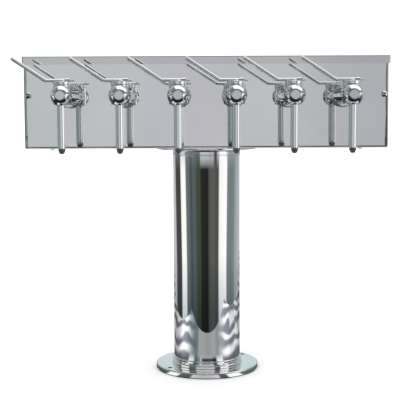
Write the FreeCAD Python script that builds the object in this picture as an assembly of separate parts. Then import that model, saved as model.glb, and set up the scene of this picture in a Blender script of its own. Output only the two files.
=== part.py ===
import FreeCAD, Part
import math
import os

os.makedirs("parts", exist_ok=True)

# Six-tap draft wine tower: a T-shaped tower of a round column and a shallow box.
# Millimetres, +Z up, +X to the viewer's right, the taps face -Y.
# The origin is on the column's axis, on the surface that the base stands on.

# Sheet, gaps and fits
SHEET = 1.2
SEAT_GAP = 0.05
SOFT_GAP = 0.3
TURN_GAP = 0.3

# Base flange and its gasket
BASE_D = 157.0
BASE_T = 7.0
BASE_EDGE_R = 2.0
GASKET_T = 1.5
GASKET_INSET = 1.5
BOLT_CIRCLE_D = 140.0
BOLT_HOLE_D = 7.0
BOLT_COUNT = 4
BOLT_TURN_DEG = 36.0
LINE_HOLE_INSET = 6.8

# Column and its two collars
COLUMN_D = 101.6
COLUMN_WALL = 1.65
FOOT_STEPS = ((3.4, 4.5), (1.9, 11.0))
FOOT_EDGE_R = 1.1
INSULATION_WALL = 6.0
NECK_D = 152.4
NECK_T = 2.5
NECK_EDGE_R = 0.9
NECK_COLLAR_WALL = 1.05
NECK_COLLAR_H = 9.3
NECK_FILLET_R = 3.0
NECK_SCREW_CIRCLE_D = 118.0
NECK_SCREW_ANGLES = (30.0, 150.0, 210.0, 330.0)

# Box on top of the column
HEAD_Z = 341.8
BOX_W = 537.0
BOX_DEPTH = 102.0
BOX_H = 135.8
PANEL_RETURN = 14.0
PANEL_BEND_R = 1.9
END_TAB = 14.0
LID_LIP_H = 11.9
LID_LIP_T = 1.5
LID_LIP_LEAN = 0.5
LID_GAP = 0.4
LID_EDGE_R = 1.6
LID_CORNER_R = 2.2

# Small screws and nuts
SCREW_D = 4.0
SCREW_HOLE_GAP = 0.15
PANEL_SCREW_HEAD_D = 9.8
PANEL_SCREW_HEAD_H = 3.1
PANEL_SCREW_INSET = 6.6
PANEL_SCREW_Z = 420.0
FLOOR_SCREW_HEAD_D = 7.6
FLOOR_SCREW_HEAD_H = 2.4
FLOOR_SCREW_INSET = 40.0
FLOOR_SCREW_SETBACK = 8.0
NUT_AF = 7.0
NUT_H = 3.2
SCREW_END = 1.0
COUNTERSINK_D = 8.0
COUNTERSINK_H = 2.1

# Tap positions
TAP_COUNT = 6
TAP_PITCH = 79.8
TAP_Z = 418.8
TAP_REACH = 106.5
VALVE_BACK = 12.5

# Tap body
BALL_D = 29.5
BALL_FLAT = 12.9
BARREL_D = 21.0
BORE_D = 6.5
BOSS_D = 24.4
BOSS_RISE = 14.7
BOSS_DROP = 12.5
CAVITY_DROP = 9.5
GLAND_SEAT_RISE = 8.5
SOCKET_BOSS_D = 14.0
SOCKET_BOSS_DROP = 13.5
SOCKET_TOP_DROP = 10.2
FRONT_STEM_CLEAR = 0.8

# Front plug
FRONT_PLUG_D = 12.8
FRONT_EDGE_R = 0.3
FRONT_PROUD = 0.4

# Spindle, gland nut and hub
SPINDLE_D = 14.0
SPINDLE_GAP = 0.05
SPINDLE_TOP = 6.2
PORT_D = 6.0
STEM_D = 8.0
GLAND_D = 18.0
HUB_D = 25.0
HUB_H = 4.5
HUB_EDGE_R = 1.2
HUB_BOSS_D = 9.0
HUB_BOSS_H = 2.3
HUB_BOSS_EDGE_R = 0.9

# Lever
LEVER_D = 5.4
LEVER_RISE = 20.6
LEVER_BEND_X = 22.5
LEVER_BEND_R = 8.0
LEVER_ANGLE_DEG = 33.5
LEVER_REACH = 70.4
STUD_D = 3.0
STUD_END_X = 16.8
LEVER_NUT_D = 7.0
LEVER_NUT_L = 7.0

# Spout
SPOUT_D = 11.6
SPOUT_WALL = 1.0
SPOUT_DROP = 72.6
TIP_DROP = 79.8
TIP_BORE_D = 3.8
TIP_PLUG_L = 6.0
TIP_NOSE_D = 5.6
TIP_RIM_INSET = 0.8
TIP_BELLY_H = 2.2

# Shank, coupling and tail behind each tap
SHANK_D = 22.0
SHANK_COLLAR_D = 35.0
SHANK_COLLAR_T = 5.0
SHANK_SPIGOT_D = 26.4
SHANK_SPIGOT_L = 11.0
SHANK_INSIDE = 32.0
FLANGE_T = 3.0
COUPLING_D = 33.0
COUPLING_GAP = 1.0
COUPLING_LIP_T = 3.0
COUPLING_EDGE_R = 1.2
SPANNER_HOLES = 6
SPANNER_HOLE_D = 4.6
SPANNER_HOLE_DEPTH = 2.2
SHANK_NUT_AF = 30.0
SHANK_NUT_T = 8.0
TAIL_NUT_AF = 27.0
TAIL_NUT_GRIP = 8.0
TAIL_NUT_LIP_T = 2.4
TAIL_FLANGE_D = 21.0
TAIL_FLANGE_T = 2.0
TAIL_D = 9.0
TAIL_BORE_D = 4.6
TAIL_BACK = 43.0
TAIL_BEND_R = 7.0
TAIL_OUT = 12.0
BARB_L = 10.0

# Wine lines
LINE_D = 9.5
LINE_BORE_D = 6.4
LINE_BEND_R = 33.0
LINE_JOG_R = 16.0
LINE_END_Z = 1.0
LINE_WALL_GAP = 1.7
INNER_LINE_DEG = -12.0
MIDDLE_LINE_DEG = 41.0
MIDDLE_LINE_SHARE = 0.58
OUTER_LINE_DEG = 64.0
INNER_JOG_TOP = 385.0
INNER_JOG_LOW = 358.0
LINE_LEAD = 18.5
MIDDLE_JOG_SHARE = 0.33
OUTER_JOG_SHARE = 0.235

# Worked-out positions
FLANGE_TOP_Z = GASKET_T + BASE_T
COLUMN_R = COLUMN_D / 2
COLUMN_BORE_R = COLUMN_R - COLUMN_WALL
COLUMN_TOP_Z = HEAD_Z - NECK_T
LINE_HOLE_R = COLUMN_R - LINE_HOLE_INSET
LINE_REACH = COLUMN_BORE_R - INSULATION_WALL - LINE_WALL_GAP - LINE_D / 2
PANEL_Y = -BOX_DEPTH / 2
PANEL_BACK_Y = PANEL_Y + SHEET
BOX_TOP_Z = HEAD_Z + BOX_H
WALL_TOP_Z = BOX_TOP_Z - SHEET
FLOOR_TOP_Z = HEAD_Z + SHEET
TAP_Y = PANEL_Y - TAP_REACH
VALVE_Y = TAP_Y + VALVE_BACK
TAIL_Y = PANEL_Y + TAIL_BACK
SHANK_END_Y = PANEL_Y + SHANK_INSIDE
FLANGE_BACK_Y = PANEL_Y - SHANK_COLLAR_T - SHANK_SPIGOT_L
FLANGE_FRONT_Y = FLANGE_BACK_Y - FLANGE_T
HUB_LOW = BOSS_RISE + TURN_GAP
HUB_TOP = HUB_LOW + HUB_H
HUB_BOSS_TOP = HUB_TOP + HUB_BOSS_H
SCREW_R = SCREW_D / 2
SCREW_HOLE_R = SCREW_R + SCREW_HOLE_GAP

UP = FreeCAD.Vector(0, 0, 1)
BACK = FreeCAD.Vector(0, 1, 0)
RIGHT = FreeCAD.Vector(1, 0, 0)


def vec(x, y, z):
    return FreeCAD.Vector(x, y, z)


def tap_x(index):
    """Sideways place of tap number index, counted from 0 at the viewer's left."""
    return (index - (TAP_COUNT - 1) / 2) * TAP_PITCH


def rod(radius, start, direction, length):
    """Solid cylinder from start along direction."""
    return Part.makeCylinder(radius, length, start, direction)


def ring(outer_r, inner_r, start, direction, length):
    """Plain hollow cylinder."""
    return rod(outer_r, start, direction, length).cut(rod(inner_r, start, direction, length))


def hex_nut(across_flats, bore_r, start, direction, length):
    """Hexagonal nut with corners up and down, its axis along direction."""
    corner_r = across_flats / math.sqrt(3)
    turn = FreeCAD.Rotation(UP, direction)
    corners = []
    for step in range(7):
        angle = math.radians(60 * step)
        flat = vec(corner_r * math.cos(angle), corner_r * math.sin(angle), 0)
        corners.append(start + turn.multVec(flat))
    blank = Part.Face(Part.makePolygon(corners)).extrude(direction * length)
    return blank.cut(rod(bore_r, start, direction, length))


def turned(profile, origin, direction):
    """Solid turned about direction from (radius, height) points; a triple in the list ends an arc.

    A pair draws a straight line to that point. A triple of pairs (through, end) draws an arc.
    """
    edges = []
    here = profile[0]
    for item in profile[1:]:
        if isinstance(item[0], tuple):
            through, end = item
            edges.append(Part.Arc(vec(here[0], 0, here[1]), vec(through[0], 0, through[1]),
                                  vec(end[0], 0, end[1])).toShape())
            here = end
        else:
            edges.append(Part.LineSegment(vec(here[0], 0, here[1]), vec(item[0], 0, item[1])).toShape())
            here = item
    edges.append(Part.LineSegment(vec(here[0], 0, here[1]),
                                  vec(profile[0][0], 0, profile[0][1])).toShape())
    solid = Part.Face(Part.Wire(edges)).revolve(vec(0, 0, 0), UP, 360)
    solid.Placement = FreeCAD.Placement(origin, FreeCAD.Rotation(UP, direction))
    return solid


def corner(radius, centre_r, centre_h, from_deg, to_deg):
    """Arc item for a turned profile: a round of the given radius about a centre."""
    middle = math.radians((from_deg + to_deg) / 2)
    last = math.radians(to_deg)
    through = (centre_r + radius * math.cos(middle), centre_h + radius * math.sin(middle))
    end = (centre_r + radius * math.cos(last), centre_h + radius * math.sin(last))
    return (through, end)


def dome(rim_r, rim_h, height):
    """Arc item for a turned profile: a ball-shaped cap from a rim up to the axis."""
    rise = height - rim_h
    ball_r = (rim_r ** 2 + rise ** 2) / (2 * rise)
    half = math.asin(rim_r / ball_r) / 2
    return ((ball_r * math.sin(half), height - ball_r + ball_r * math.cos(half)), (0, height))


def block(x0, x1, y0, y1, z0, z1):
    """Box between two corners."""
    return Part.makeBox(x1 - x0, y1 - y0, z1 - z0, vec(x0, y0, z0))


def edges_where(solid, test):
    """Edges whose two end points and middle all pass the test."""
    found = []
    for edge in solid.Edges:
        middle = edge.valueAt((edge.FirstParameter + edge.LastParameter) / 2)
        points = [vertex.Point for vertex in edge.Vertexes] + [middle]
        if all(test(point) for point in points):
            found.append(edge)
    return found


def near(a, b):
    return abs(a - b) < 0.01


def route(points, radii):
    """Wire along the points, each inner corner rounded to its own radius."""
    edges = []
    here = points[0]
    for index in range(1, len(points) - 1):
        before = (points[index - 1] - points[index]).normalize()
        after = (points[index + 1] - points[index]).normalize()
        half = before.getAngle(after) / 2
        reach = radii[index - 1] / math.tan(half)
        start = points[index] + before * reach
        end = points[index] + after * reach
        bisector = (before + after).normalize()
        centre = points[index] + bisector * (radii[index - 1] / math.sin(half))
        middle = centre - bisector * radii[index - 1]
        edges.append(Part.LineSegment(here, start).toShape())
        edges.append(Part.Arc(start, middle, end).toShape())
        here = end
    edges.append(Part.LineSegment(here, points[-1]).toShape())
    return Part.Wire(edges)


def swept_rod(radius, path):
    """Round bar along a path."""
    first = path.Edges[0]
    start = first.valueAt(first.FirstParameter)
    heading = first.tangentAt(first.FirstParameter)
    section = Part.Wire(Part.makeCircle(radius, start, heading))
    return path.makePipeShell([section], True, False)


def swept_tube(outer_r, inner_r, path):
    """Round tube along a path."""
    return swept_rod(outer_r, path).cut(swept_rod(inner_r, path))


def on_circle(circle_d, angles_deg, z):
    """Points on a circle about the column's axis."""
    points = []
    for degrees in angles_deg:
        angle = math.radians(degrees)
        points.append(vec(circle_d / 2 * math.cos(angle), circle_d / 2 * math.sin(angle), z))
    return points


def base_bolt_points(z):
    angles = [BOLT_TURN_DEG + 360 / BOLT_COUNT * index for index in range(BOLT_COUNT)]
    return on_circle(BOLT_CIRCLE_D, angles, z)


def base_gasket():
    outer_r = BASE_D / 2 - GASKET_INSET
    gasket = ring(outer_r, LINE_HOLE_R, vec(0, 0, 0), UP, GASKET_T)
    for point in base_bolt_points(0):
        gasket = gasket.cut(rod(BOLT_HOLE_D / 2, point, UP, GASKET_T))
    return gasket


def base_flange():
    outer_r = BASE_D / 2
    profile = [(LINE_HOLE_R, 0), (outer_r, 0), (outer_r, BASE_T - BASE_EDGE_R),
               corner(BASE_EDGE_R, outer_r - BASE_EDGE_R, BASE_T - BASE_EDGE_R, 0, 90),
               (LINE_HOLE_R, BASE_T)]
    flange = turned(profile, vec(0, 0, GASKET_T), UP)
    for point in base_bolt_points(GASKET_T):
        flange = flange.cut(rod(BOLT_HOLE_D / 2, point, UP, BASE_T))
    return flange


def foot_ring():
    """Two-step trim ring round the foot of the column."""
    inner_r = COLUMN_R + SEAT_GAP
    (low_out, low_h), (top_out, top_h) = FOOT_STEPS
    low_r = COLUMN_R + low_out
    top_r = COLUMN_R + top_out
    round_r = FOOT_EDGE_R
    profile = [(inner_r, 0), (low_r, 0), (low_r, low_h - round_r),
               corner(round_r, low_r - round_r, low_h - round_r, 0, 90),
               (top_r, low_h), (top_r, top_h - round_r),
               corner(round_r, top_r - round_r, top_h - round_r, 0, 90),
               (inner_r, top_h)]
    return turned(profile, vec(0, 0, FLANGE_TOP_Z), UP)


def column_tube():
    return ring(COLUMN_R, COLUMN_BORE_R, vec(0, 0, FLANGE_TOP_Z), UP, COLUMN_TOP_Z - FLANGE_TOP_Z)


def column_insulation():
    outer_r = COLUMN_BORE_R - SOFT_GAP
    length = COLUMN_TOP_Z - FLANGE_TOP_Z - 2 * SOFT_GAP
    return ring(outer_r, outer_r - INSULATION_WALL, vec(0, 0, FLANGE_TOP_Z + SOFT_GAP), UP, length)


def neck_flange():
    """Thin disc under the box with a sleeve that fits over the column's top."""
    outer_r = NECK_D / 2
    sleeve_in = COLUMN_R + SEAT_GAP
    sleeve_out = COLUMN_R + NECK_COLLAR_WALL
    edge_r = NECK_COLLAR_WALL / 3
    fillet_r = NECK_FILLET_R
    profile = [(sleeve_in, 0), (sleeve_in, -NECK_COLLAR_H), (sleeve_out - edge_r, -NECK_COLLAR_H),
               corner(edge_r, sleeve_out - edge_r, edge_r - NECK_COLLAR_H, -90, 0),
               (sleeve_out, -fillet_r),
               corner(fillet_r, sleeve_out + fillet_r, -fillet_r, 180, 90),
               (outer_r - NECK_EDGE_R, 0),
               corner(NECK_EDGE_R, outer_r - NECK_EDGE_R, NECK_EDGE_R, -90, 0),
               (outer_r, NECK_T), (LINE_HOLE_R, NECK_T), (LINE_HOLE_R, 0)]
    flange = turned(profile, vec(0, 0, COLUMN_TOP_Z), UP)
    for point in on_circle(NECK_SCREW_CIRCLE_D, NECK_SCREW_ANGLES, COLUMN_TOP_Z):
        flange = flange.cut(rod(SCREW_HOLE_R, point, UP, NECK_T))
        sink = Part.makeCone(COUNTERSINK_D / 2 + SEAT_GAP, SCREW_R + SEAT_GAP, COUNTERSINK_H, point, UP)
        flange = flange.cut(sink)
    return flange


def neck_screws():
    screws = []
    shank_top = FLOOR_TOP_Z + NUT_H + SCREW_END
    for point in on_circle(NECK_SCREW_CIRCLE_D, NECK_SCREW_ANGLES, COLUMN_TOP_Z):
        head = Part.makeCone(COUNTERSINK_D / 2, SCREW_R, COUNTERSINK_H, point, UP)
        shank = rod(SCREW_R, point, UP, shank_top - COLUMN_TOP_Z)
        screws.append(head.fuse(shank))
    return Part.makeCompound(screws)


def neck_nuts():
    nuts = []
    for point in on_circle(NECK_SCREW_CIRCLE_D, NECK_SCREW_ANGLES, FLOOR_TOP_Z):
        nuts.append(hex_nut(NUT_AF, SCREW_R + SEAT_GAP, point, UP, NUT_H))
    return Part.makeCompound(nuts)


def panel_screw_points():
    """Where the two domed screws enter the front of the panel."""
    out = BOX_W / 2 - PANEL_SCREW_INSET
    return [vec(side * out, PANEL_Y, PANEL_SCREW_Z) for side in (-1, 1)]


def floor_screw_points():
    """Where the two small screws enter the underside of the floor."""
    out = BOX_W / 2 - FLOOR_SCREW_INSET
    return [vec(side * out, PANEL_Y + FLOOR_SCREW_SETBACK, HEAD_Z) for side in (-1, 1)]


def box_body():
    """Folded sheet: floor, back, two ends and the tabs that take the panel's screws."""
    end_out = BOX_W / 2 - SHEET
    end_in = end_out - SHEET
    back_y = BOX_DEPTH / 2
    floor = block(-end_out, end_out, PANEL_Y + SHEET / 2, back_y, HEAD_Z, FLOOR_TOP_Z)
    back = block(-end_out, end_out, back_y - SHEET, back_y, HEAD_Z, WALL_TOP_Z)
    body = floor.fuse(back)
    for side in (-1, 1):
        x0, x1 = sorted((side * end_in, side * end_out))
        body = body.fuse(block(x0, x1, PANEL_BACK_Y, back_y, HEAD_Z, WALL_TOP_Z))
        t0, t1 = sorted((side * end_in, side * (end_in - END_TAB)))
        tab = block(t0, t1, PANEL_BACK_Y, PANEL_BACK_Y + SHEET, FLOOR_TOP_Z + 2 * SHEET,
                    WALL_TOP_Z - SHEET)
        body = body.fuse(tab)
    body = body.removeSplitter()

    def is_back_bend(point):
        at_back = near(point.y, back_y)
        return at_back and (near(abs(point.x), end_out) or near(point.z, HEAD_Z))

    body = body.makeFillet(PANEL_BEND_R / 2, edges_where(body, is_back_bend))
    body = body.cut(rod(LINE_HOLE_R, vec(0, 0, HEAD_Z), UP, SHEET))
    for point in on_circle(NECK_SCREW_CIRCLE_D, NECK_SCREW_ANGLES, HEAD_Z):
        body = body.cut(rod(SCREW_HOLE_R, point, UP, SHEET))
    for point in floor_screw_points():
        body = body.cut(rod(SCREW_HOLE_R, point, UP, SHEET))
    for point in panel_screw_points():
        body = body.cut(rod(SCREW_HOLE_R, point, BACK, 2 * SHEET))
    return body


def front_panel():
    """Polished front: a face, two end returns outside the box and a return on top of the floor."""
    half = BOX_W / 2
    return_y = PANEL_Y + PANEL_RETURN
    panel = block(-half, half, PANEL_Y, return_y, FLOOR_TOP_Z, WALL_TOP_Z)

    def is_front_bend(point):
        at_front = near(point.y, PANEL_Y)
        return at_front and (near(abs(point.x), half) or near(point.z, FLOOR_TOP_Z))

    panel = panel.makeFillet(PANEL_BEND_R, edges_where(panel, is_front_bend))
    inner = half - SHEET
    panel = panel.cut(block(-inner, inner, PANEL_BACK_Y, return_y, FLOOR_TOP_Z + SHEET, WALL_TOP_Z))
    for side in (-1, 1):
        x0, x1 = sorted((side * inner, side * (inner - SHEET - SEAT_GAP)))
        panel = panel.cut(block(x0, x1, PANEL_BACK_Y, return_y, FLOOR_TOP_Z, FLOOR_TOP_Z + SHEET))
    for index in range(TAP_COUNT):
        hole = rod(SHANK_D / 2 + SCREW_HOLE_GAP, vec(tap_x(index), PANEL_Y, TAP_Z), BACK, SHEET)
        panel = panel.cut(hole)
    for point in panel_screw_points():
        panel = panel.cut(rod(SCREW_HOLE_R, point, BACK, SHEET))
    for point in floor_screw_points():
        panel = panel.cut(rod(SCREW_HOLE_R, point, UP, 2 * SHEET))
    return panel


def lid_outline(half_x, half_y, z):
    """Rounded rectangle for the lid's lip at one height."""
    r = LID_CORNER_R
    edges = []
    turns = ((1, 1, 0), (-1, 1, 90), (-1, -1, 180), (1, -1, 270))
    ends = []
    for sx, sy, start_deg in turns:
        centre = vec(sx * (half_x - r), sy * (half_y - r), z)
        marks = []
        for extra in (0, 45, 90):
            angle = math.radians(start_deg + extra)
            marks.append(centre + vec(r * math.cos(angle), r * math.sin(angle), 0))
        ends.append(marks)
    for index, marks in enumerate(ends):
        following = ends[(index + 1) % len(ends)]
        edges.append(Part.Arc(marks[0], marks[1], marks[2]).toShape())
        edges.append(Part.LineSegment(marks[2], following[0]).toShape())
    return Part.Wire(edges)


def top_cover():
    """Cap with a hemmed lip that leans in slightly towards its lower edge."""
    low_z = BOX_TOP_Z - LID_LIP_H
    low_x = BOX_W / 2 + LID_GAP + LID_LIP_T
    low_y = BOX_DEPTH / 2 + LID_GAP + LID_LIP_T
    lower = lid_outline(low_x, low_y, low_z)
    upper = lid_outline(low_x + LID_LIP_LEAN, low_y + LID_LIP_LEAN, BOX_TOP_Z)
    cover = Part.makeLoft([lower, upper], True, True)

    def is_top_edge(point):
        return near(point.z, BOX_TOP_Z)

    cover = cover.makeFillet(LID_EDGE_R, edges_where(cover, is_top_edge))
    inner_x = BOX_W / 2 + LID_GAP
    inner_y = BOX_DEPTH / 2 + LID_GAP
    return cover.cut(block(-inner_x, inner_x, -inner_y, inner_y, low_z, WALL_TOP_Z))


def domed_screw(point, direction, head_d, head_h, length):
    """Round-headed screw whose head sits outside point and whose shank runs along direction."""
    head_r = head_d / 2
    rim = head_h / 4
    profile = [(0, 0), (head_r, 0), (head_r, rim), dome(head_r, rim, head_h)]
    head = turned(profile, point, direction * -1)
    return head.fuse(rod(SCREW_R, point, direction, length))


def panel_screws():
    length = 2 * SHEET + NUT_H + SCREW_END
    screws = []
    for point in panel_screw_points():
        screws.append(domed_screw(point, BACK, PANEL_SCREW_HEAD_D, PANEL_SCREW_HEAD_H, length))
    return Part.makeCompound(screws)


def floor_screws():
    length = 2 * SHEET + NUT_H + SCREW_END
    screws = []
    for point in floor_screw_points():
        screws.append(domed_screw(point, UP, FLOOR_SCREW_HEAD_D, FLOOR_SCREW_HEAD_H, length))
    return Part.makeCompound(screws)


def screw_nuts():
    """The four nuts behind the panel's and the floor's screws."""
    nuts = []
    bore_r = SCREW_R + SEAT_GAP
    for point in panel_screw_points():
        nuts.append(hex_nut(NUT_AF, bore_r, point + BACK * (2 * SHEET), BACK, NUT_H))
    for point in floor_screw_points():
        nuts.append(hex_nut(NUT_AF, bore_r, point + UP * (2 * SHEET), UP, NUT_H))
    return Part.makeCompound(nuts)


def shank(x):
    """Hollow threaded shank through the panel, with its collar and front spigot."""
    bore_r = BORE_D / 2
    body_r = SHANK_D / 2
    collar_r = SHANK_COLLAR_D / 2
    spigot_r = SHANK_SPIGOT_D / 2
    edge_r = SHANK_COLLAR_T / 4
    front = SHANK_COLLAR_T + SHANK_SPIGOT_L
    profile = [(bore_r, -SHANK_INSIDE), (body_r, -SHANK_INSIDE), (body_r, 0), (collar_r, 0),
               (collar_r, SHANK_COLLAR_T - edge_r),
               corner(edge_r, collar_r - edge_r, SHANK_COLLAR_T - edge_r, 0, 90),
               (spigot_r, SHANK_COLLAR_T), (spigot_r, front), (bore_r, front)]
    return turned(profile, vec(x, PANEL_Y, TAP_Z), BACK * -1)


def shank_nut(x):
    start = vec(x, PANEL_BACK_Y, TAP_Z)
    return hex_nut(SHANK_NUT_AF, SHANK_D / 2 + SEAT_GAP, start, BACK, SHANK_NUT_T)


def coupling_nut(x):
    """Ring nut that pulls the tap's flange onto the shank, with spanner holes round its rim."""
    outer_r = COUPLING_D / 2
    bore_r = SHANK_SPIGOT_D / 2 + SEAT_GAP
    lip_r = BARREL_D / 2 + SEAT_GAP
    start = SHANK_COLLAR_T + COUPLING_GAP
    lip = SHANK_COLLAR_T + SHANK_SPIGOT_L + FLANGE_T
    front = lip + COUPLING_LIP_T
    edge_r = COUPLING_EDGE_R
    profile = [(bore_r, start), (outer_r - edge_r, start),
               corner(edge_r, outer_r - edge_r, start + edge_r, -90, 0),
               (outer_r, front - edge_r),
               corner(edge_r, outer_r - edge_r, front - edge_r, 0, 90),
               (lip_r, front), (lip_r, lip), (bore_r, lip)]
    nut = turned(profile, vec(x, PANEL_Y, TAP_Z), BACK * -1)
    middle_y = PANEL_Y - (start + front) / 2
    for index in range(SPANNER_HOLES):
        angle = math.radians(360 / SPANNER_HOLES * index)
        outward = vec(math.cos(angle), 0, math.sin(angle))
        hole_start = vec(x, middle_y, TAP_Z) + outward * (outer_r - SPANNER_HOLE_DEPTH)
        nut = nut.cut(rod(SPANNER_HOLE_D / 2, hole_start, outward, 2 * SPANNER_HOLE_DEPTH))
    return nut


def outlet_direction(index):
    """The two middle tails point down; the others point towards the column."""
    x = tap_x(index)
    if abs(x) < TAP_PITCH:
        return UP * -1
    return RIGHT * (-1 if x > 0 else 1)


def tail_route(index, reach):
    """Centre line of the elbow behind one shank, out to a reach past its own axis."""
    elbow = vec(tap_x(index), TAIL_Y, TAP_Z)
    start = vec(tap_x(index), SHANK_END_Y, TAP_Z)
    return route([start, elbow, elbow + outlet_direction(index) * reach], [TAIL_BEND_R])


def tail_elbow(index):
    """Flanged elbow with a barb that the wine line is pushed over."""
    barb_r = LINE_BORE_D / 2 - SEAT_GAP
    flange = rod(TAIL_FLANGE_D / 2, vec(tap_x(index), SHANK_END_Y, TAP_Z), BACK, TAIL_FLANGE_T)
    pipe = swept_rod(TAIL_D / 2, tail_route(index, TAIL_OUT))
    shoulder = vec(tap_x(index), TAIL_Y, TAP_Z) + outlet_direction(index) * TAIL_OUT
    barb = rod(barb_r, shoulder, outlet_direction(index), BARB_L)
    elbow = flange.fuse(pipe).fuse(barb)
    return elbow.cut(swept_rod(TAIL_BORE_D / 2, tail_route(index, TAIL_OUT + BARB_L)))


def tail_nut(index):
    """Hexagonal nut that holds the elbow's flange on the end of the shank."""
    x = tap_x(index)
    start_y = SHANK_END_Y - TAIL_NUT_GRIP
    length = TAIL_NUT_GRIP + TAIL_FLANGE_T + TAIL_NUT_LIP_T
    lip_r = TAIL_D / 2 + SOFT_GAP
    nut = hex_nut(TAIL_NUT_AF, lip_r, vec(x, start_y, TAP_Z), BACK, length)
    deep = TAIL_NUT_GRIP + TAIL_FLANGE_T + SEAT_GAP
    return nut.cut(rod(SHANK_D / 2 + SEAT_GAP, vec(x, start_y, TAP_Z), BACK, deep))


def line_place(side, degrees, reach):
    """Where a line stands in the column: an angle from the viewer's side to side, and a reach."""
    angle = math.radians(degrees)
    return vec(side * reach * math.cos(angle), reach * math.sin(angle), 0)


def line_points(index):
    """Corner points and bend radii of one wine line, from its barb to the base."""
    x = tap_x(index)
    side = 1 if x > 0 else -1
    direction = outlet_direction(index)
    start = vec(x, TAIL_Y, TAP_Z) + direction * (TAIL_OUT + SEAT_GAP)
    lead = start + direction * LINE_LEAD
    if abs(x) < TAP_PITCH:
        place = line_place(side, INNER_LINE_DEG, LINE_REACH)
        points = [start, vec(x, TAIL_Y, INNER_JOG_TOP), place + UP * INNER_JOG_LOW, place + UP * LINE_END_Z]
        return points, [LINE_BEND_R, LINE_BEND_R]
    if abs(x) < 2 * TAP_PITCH:
        place = line_place(side, MIDDLE_LINE_DEG, LINE_REACH * MIDDLE_LINE_SHARE)
        share = MIDDLE_JOG_SHARE
    else:
        place = line_place(side, OUTER_LINE_DEG, LINE_REACH)
        share = OUTER_JOG_SHARE
    room = abs(lead.x - place.x)
    jog = room * share
    bend_r = min(LINE_BEND_R, room - jog - LINE_JOG_R)
    points = [start, lead, vec(lead.x - side * jog, place.y, TAP_Z), place + UP * TAP_Z,
              place + UP * LINE_END_Z]
    return points, [LINE_JOG_R, LINE_JOG_R, bend_r]


def wine_line(index):
    points, radii = line_points(index)
    return swept_tube(LINE_D / 2, LINE_BORE_D / 2, route(points, radii))


def each_tap(make):
    """One solid for each tap, made by its index, as a group."""
    return Part.makeCompound([make(index) for index in range(TAP_COUNT)])


def tap_body(x):
    """Ball in front, barrel and rear flange behind it, and the upright boss that holds the valve."""
    centre = vec(x, TAP_Y, TAP_Z)
    valve = vec(x, VALVE_Y, TAP_Z)
    ball_r = BALL_D / 2
    body = Part.makeSphere(ball_r, centre)
    body = body.cut(block(x - ball_r, x + ball_r, TAP_Y - ball_r, TAP_Y - BALL_FLAT,
                          TAP_Z - ball_r, TAP_Z + ball_r))
    body = body.fuse(rod(BARREL_D / 2, centre, BACK, FLANGE_FRONT_Y - TAP_Y))
    body = body.fuse(rod(BOSS_D / 2, valve - UP * BOSS_DROP, UP, BOSS_DROP + BOSS_RISE))
    flange_start = vec(x, FLANGE_FRONT_Y, TAP_Z)
    body = body.fuse(rod(SHANK_SPIGOT_D / 2, flange_start, BACK, FLANGE_T))
    body = body.fuse(rod(SOCKET_BOSS_D / 2, centre, UP * -1, SOCKET_BOSS_DROP))
    cavity_r = SPINDLE_D / 2 + SPINDLE_GAP
    body = body.cut(rod(cavity_r, valve - UP * CAVITY_DROP, UP, CAVITY_DROP + BOSS_RISE))
    gland_seat = valve + UP * GLAND_SEAT_RISE
    body = body.cut(rod(GLAND_D / 2 + SEAT_GAP, gland_seat, UP, BOSS_RISE - GLAND_SEAT_RISE))
    top_clear = vec(x, VALVE_Y, TAP_Z + BOSS_RISE)
    body = body.cut(rod(HUB_D / 2 + SOFT_GAP, top_clear, UP, ball_r))
    body = body.cut(rod(BORE_D / 2, centre, BACK, FLANGE_BACK_Y - TAP_Y))
    front = vec(x, TAP_Y - BALL_FLAT, TAP_Z)
    front_depth = BALL_FLAT - BORE_D / 2 - FRONT_STEM_CLEAR + SEAT_GAP
    body = body.cut(rod(FRONT_PLUG_D / 2 + SEAT_GAP, front, BACK, front_depth))
    body = body.cut(rod(PORT_D / 2, centre, UP * -1, SOCKET_BOSS_DROP))
    socket = vec(x, TAP_Y, TAP_Z - ball_r)
    socket_depth = ball_r - SOCKET_TOP_DROP
    return body.cut(rod(SPOUT_D / 2 + SEAT_GAP, socket, UP, socket_depth))


def front_plug(index):
    """Flat round plug in the ball's front, nearly level with the ball's flat."""
    plug_r = FRONT_PLUG_D / 2
    edge_r = FRONT_EDGE_R
    stem = BALL_FLAT - BORE_D / 2 - FRONT_STEM_CLEAR
    profile = [(0, -stem), (plug_r, -stem), (plug_r, FRONT_PROUD - edge_r),
               corner(edge_r, plug_r - edge_r, FRONT_PROUD - edge_r, 0, 90), (0, FRONT_PROUD)]
    return turned(profile, vec(tap_x(index), TAP_Y - BALL_FLAT, TAP_Z), BACK * -1)


def gland_nut(index):
    """Ring nut sunk in the boss, which presses on the packing and leaves a hole for the stem."""
    start = vec(tap_x(index), VALVE_Y, TAP_Z + GLAND_SEAT_RISE)
    return ring(GLAND_D / 2, STEM_D / 2 + SPINDLE_GAP, start, UP, BOSS_RISE - GLAND_SEAT_RISE)


def packing_ring(index):
    """Soft ring above the spindle that seals round the stem."""
    low = SPINDLE_TOP + SPINDLE_GAP
    start = vec(tap_x(index), VALVE_Y, TAP_Z + low)
    length = GLAND_SEAT_RISE - low - SPINDLE_GAP
    return ring(SPINDLE_D / 2, STEM_D / 2 + SPINDLE_GAP, start, UP, length)


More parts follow.
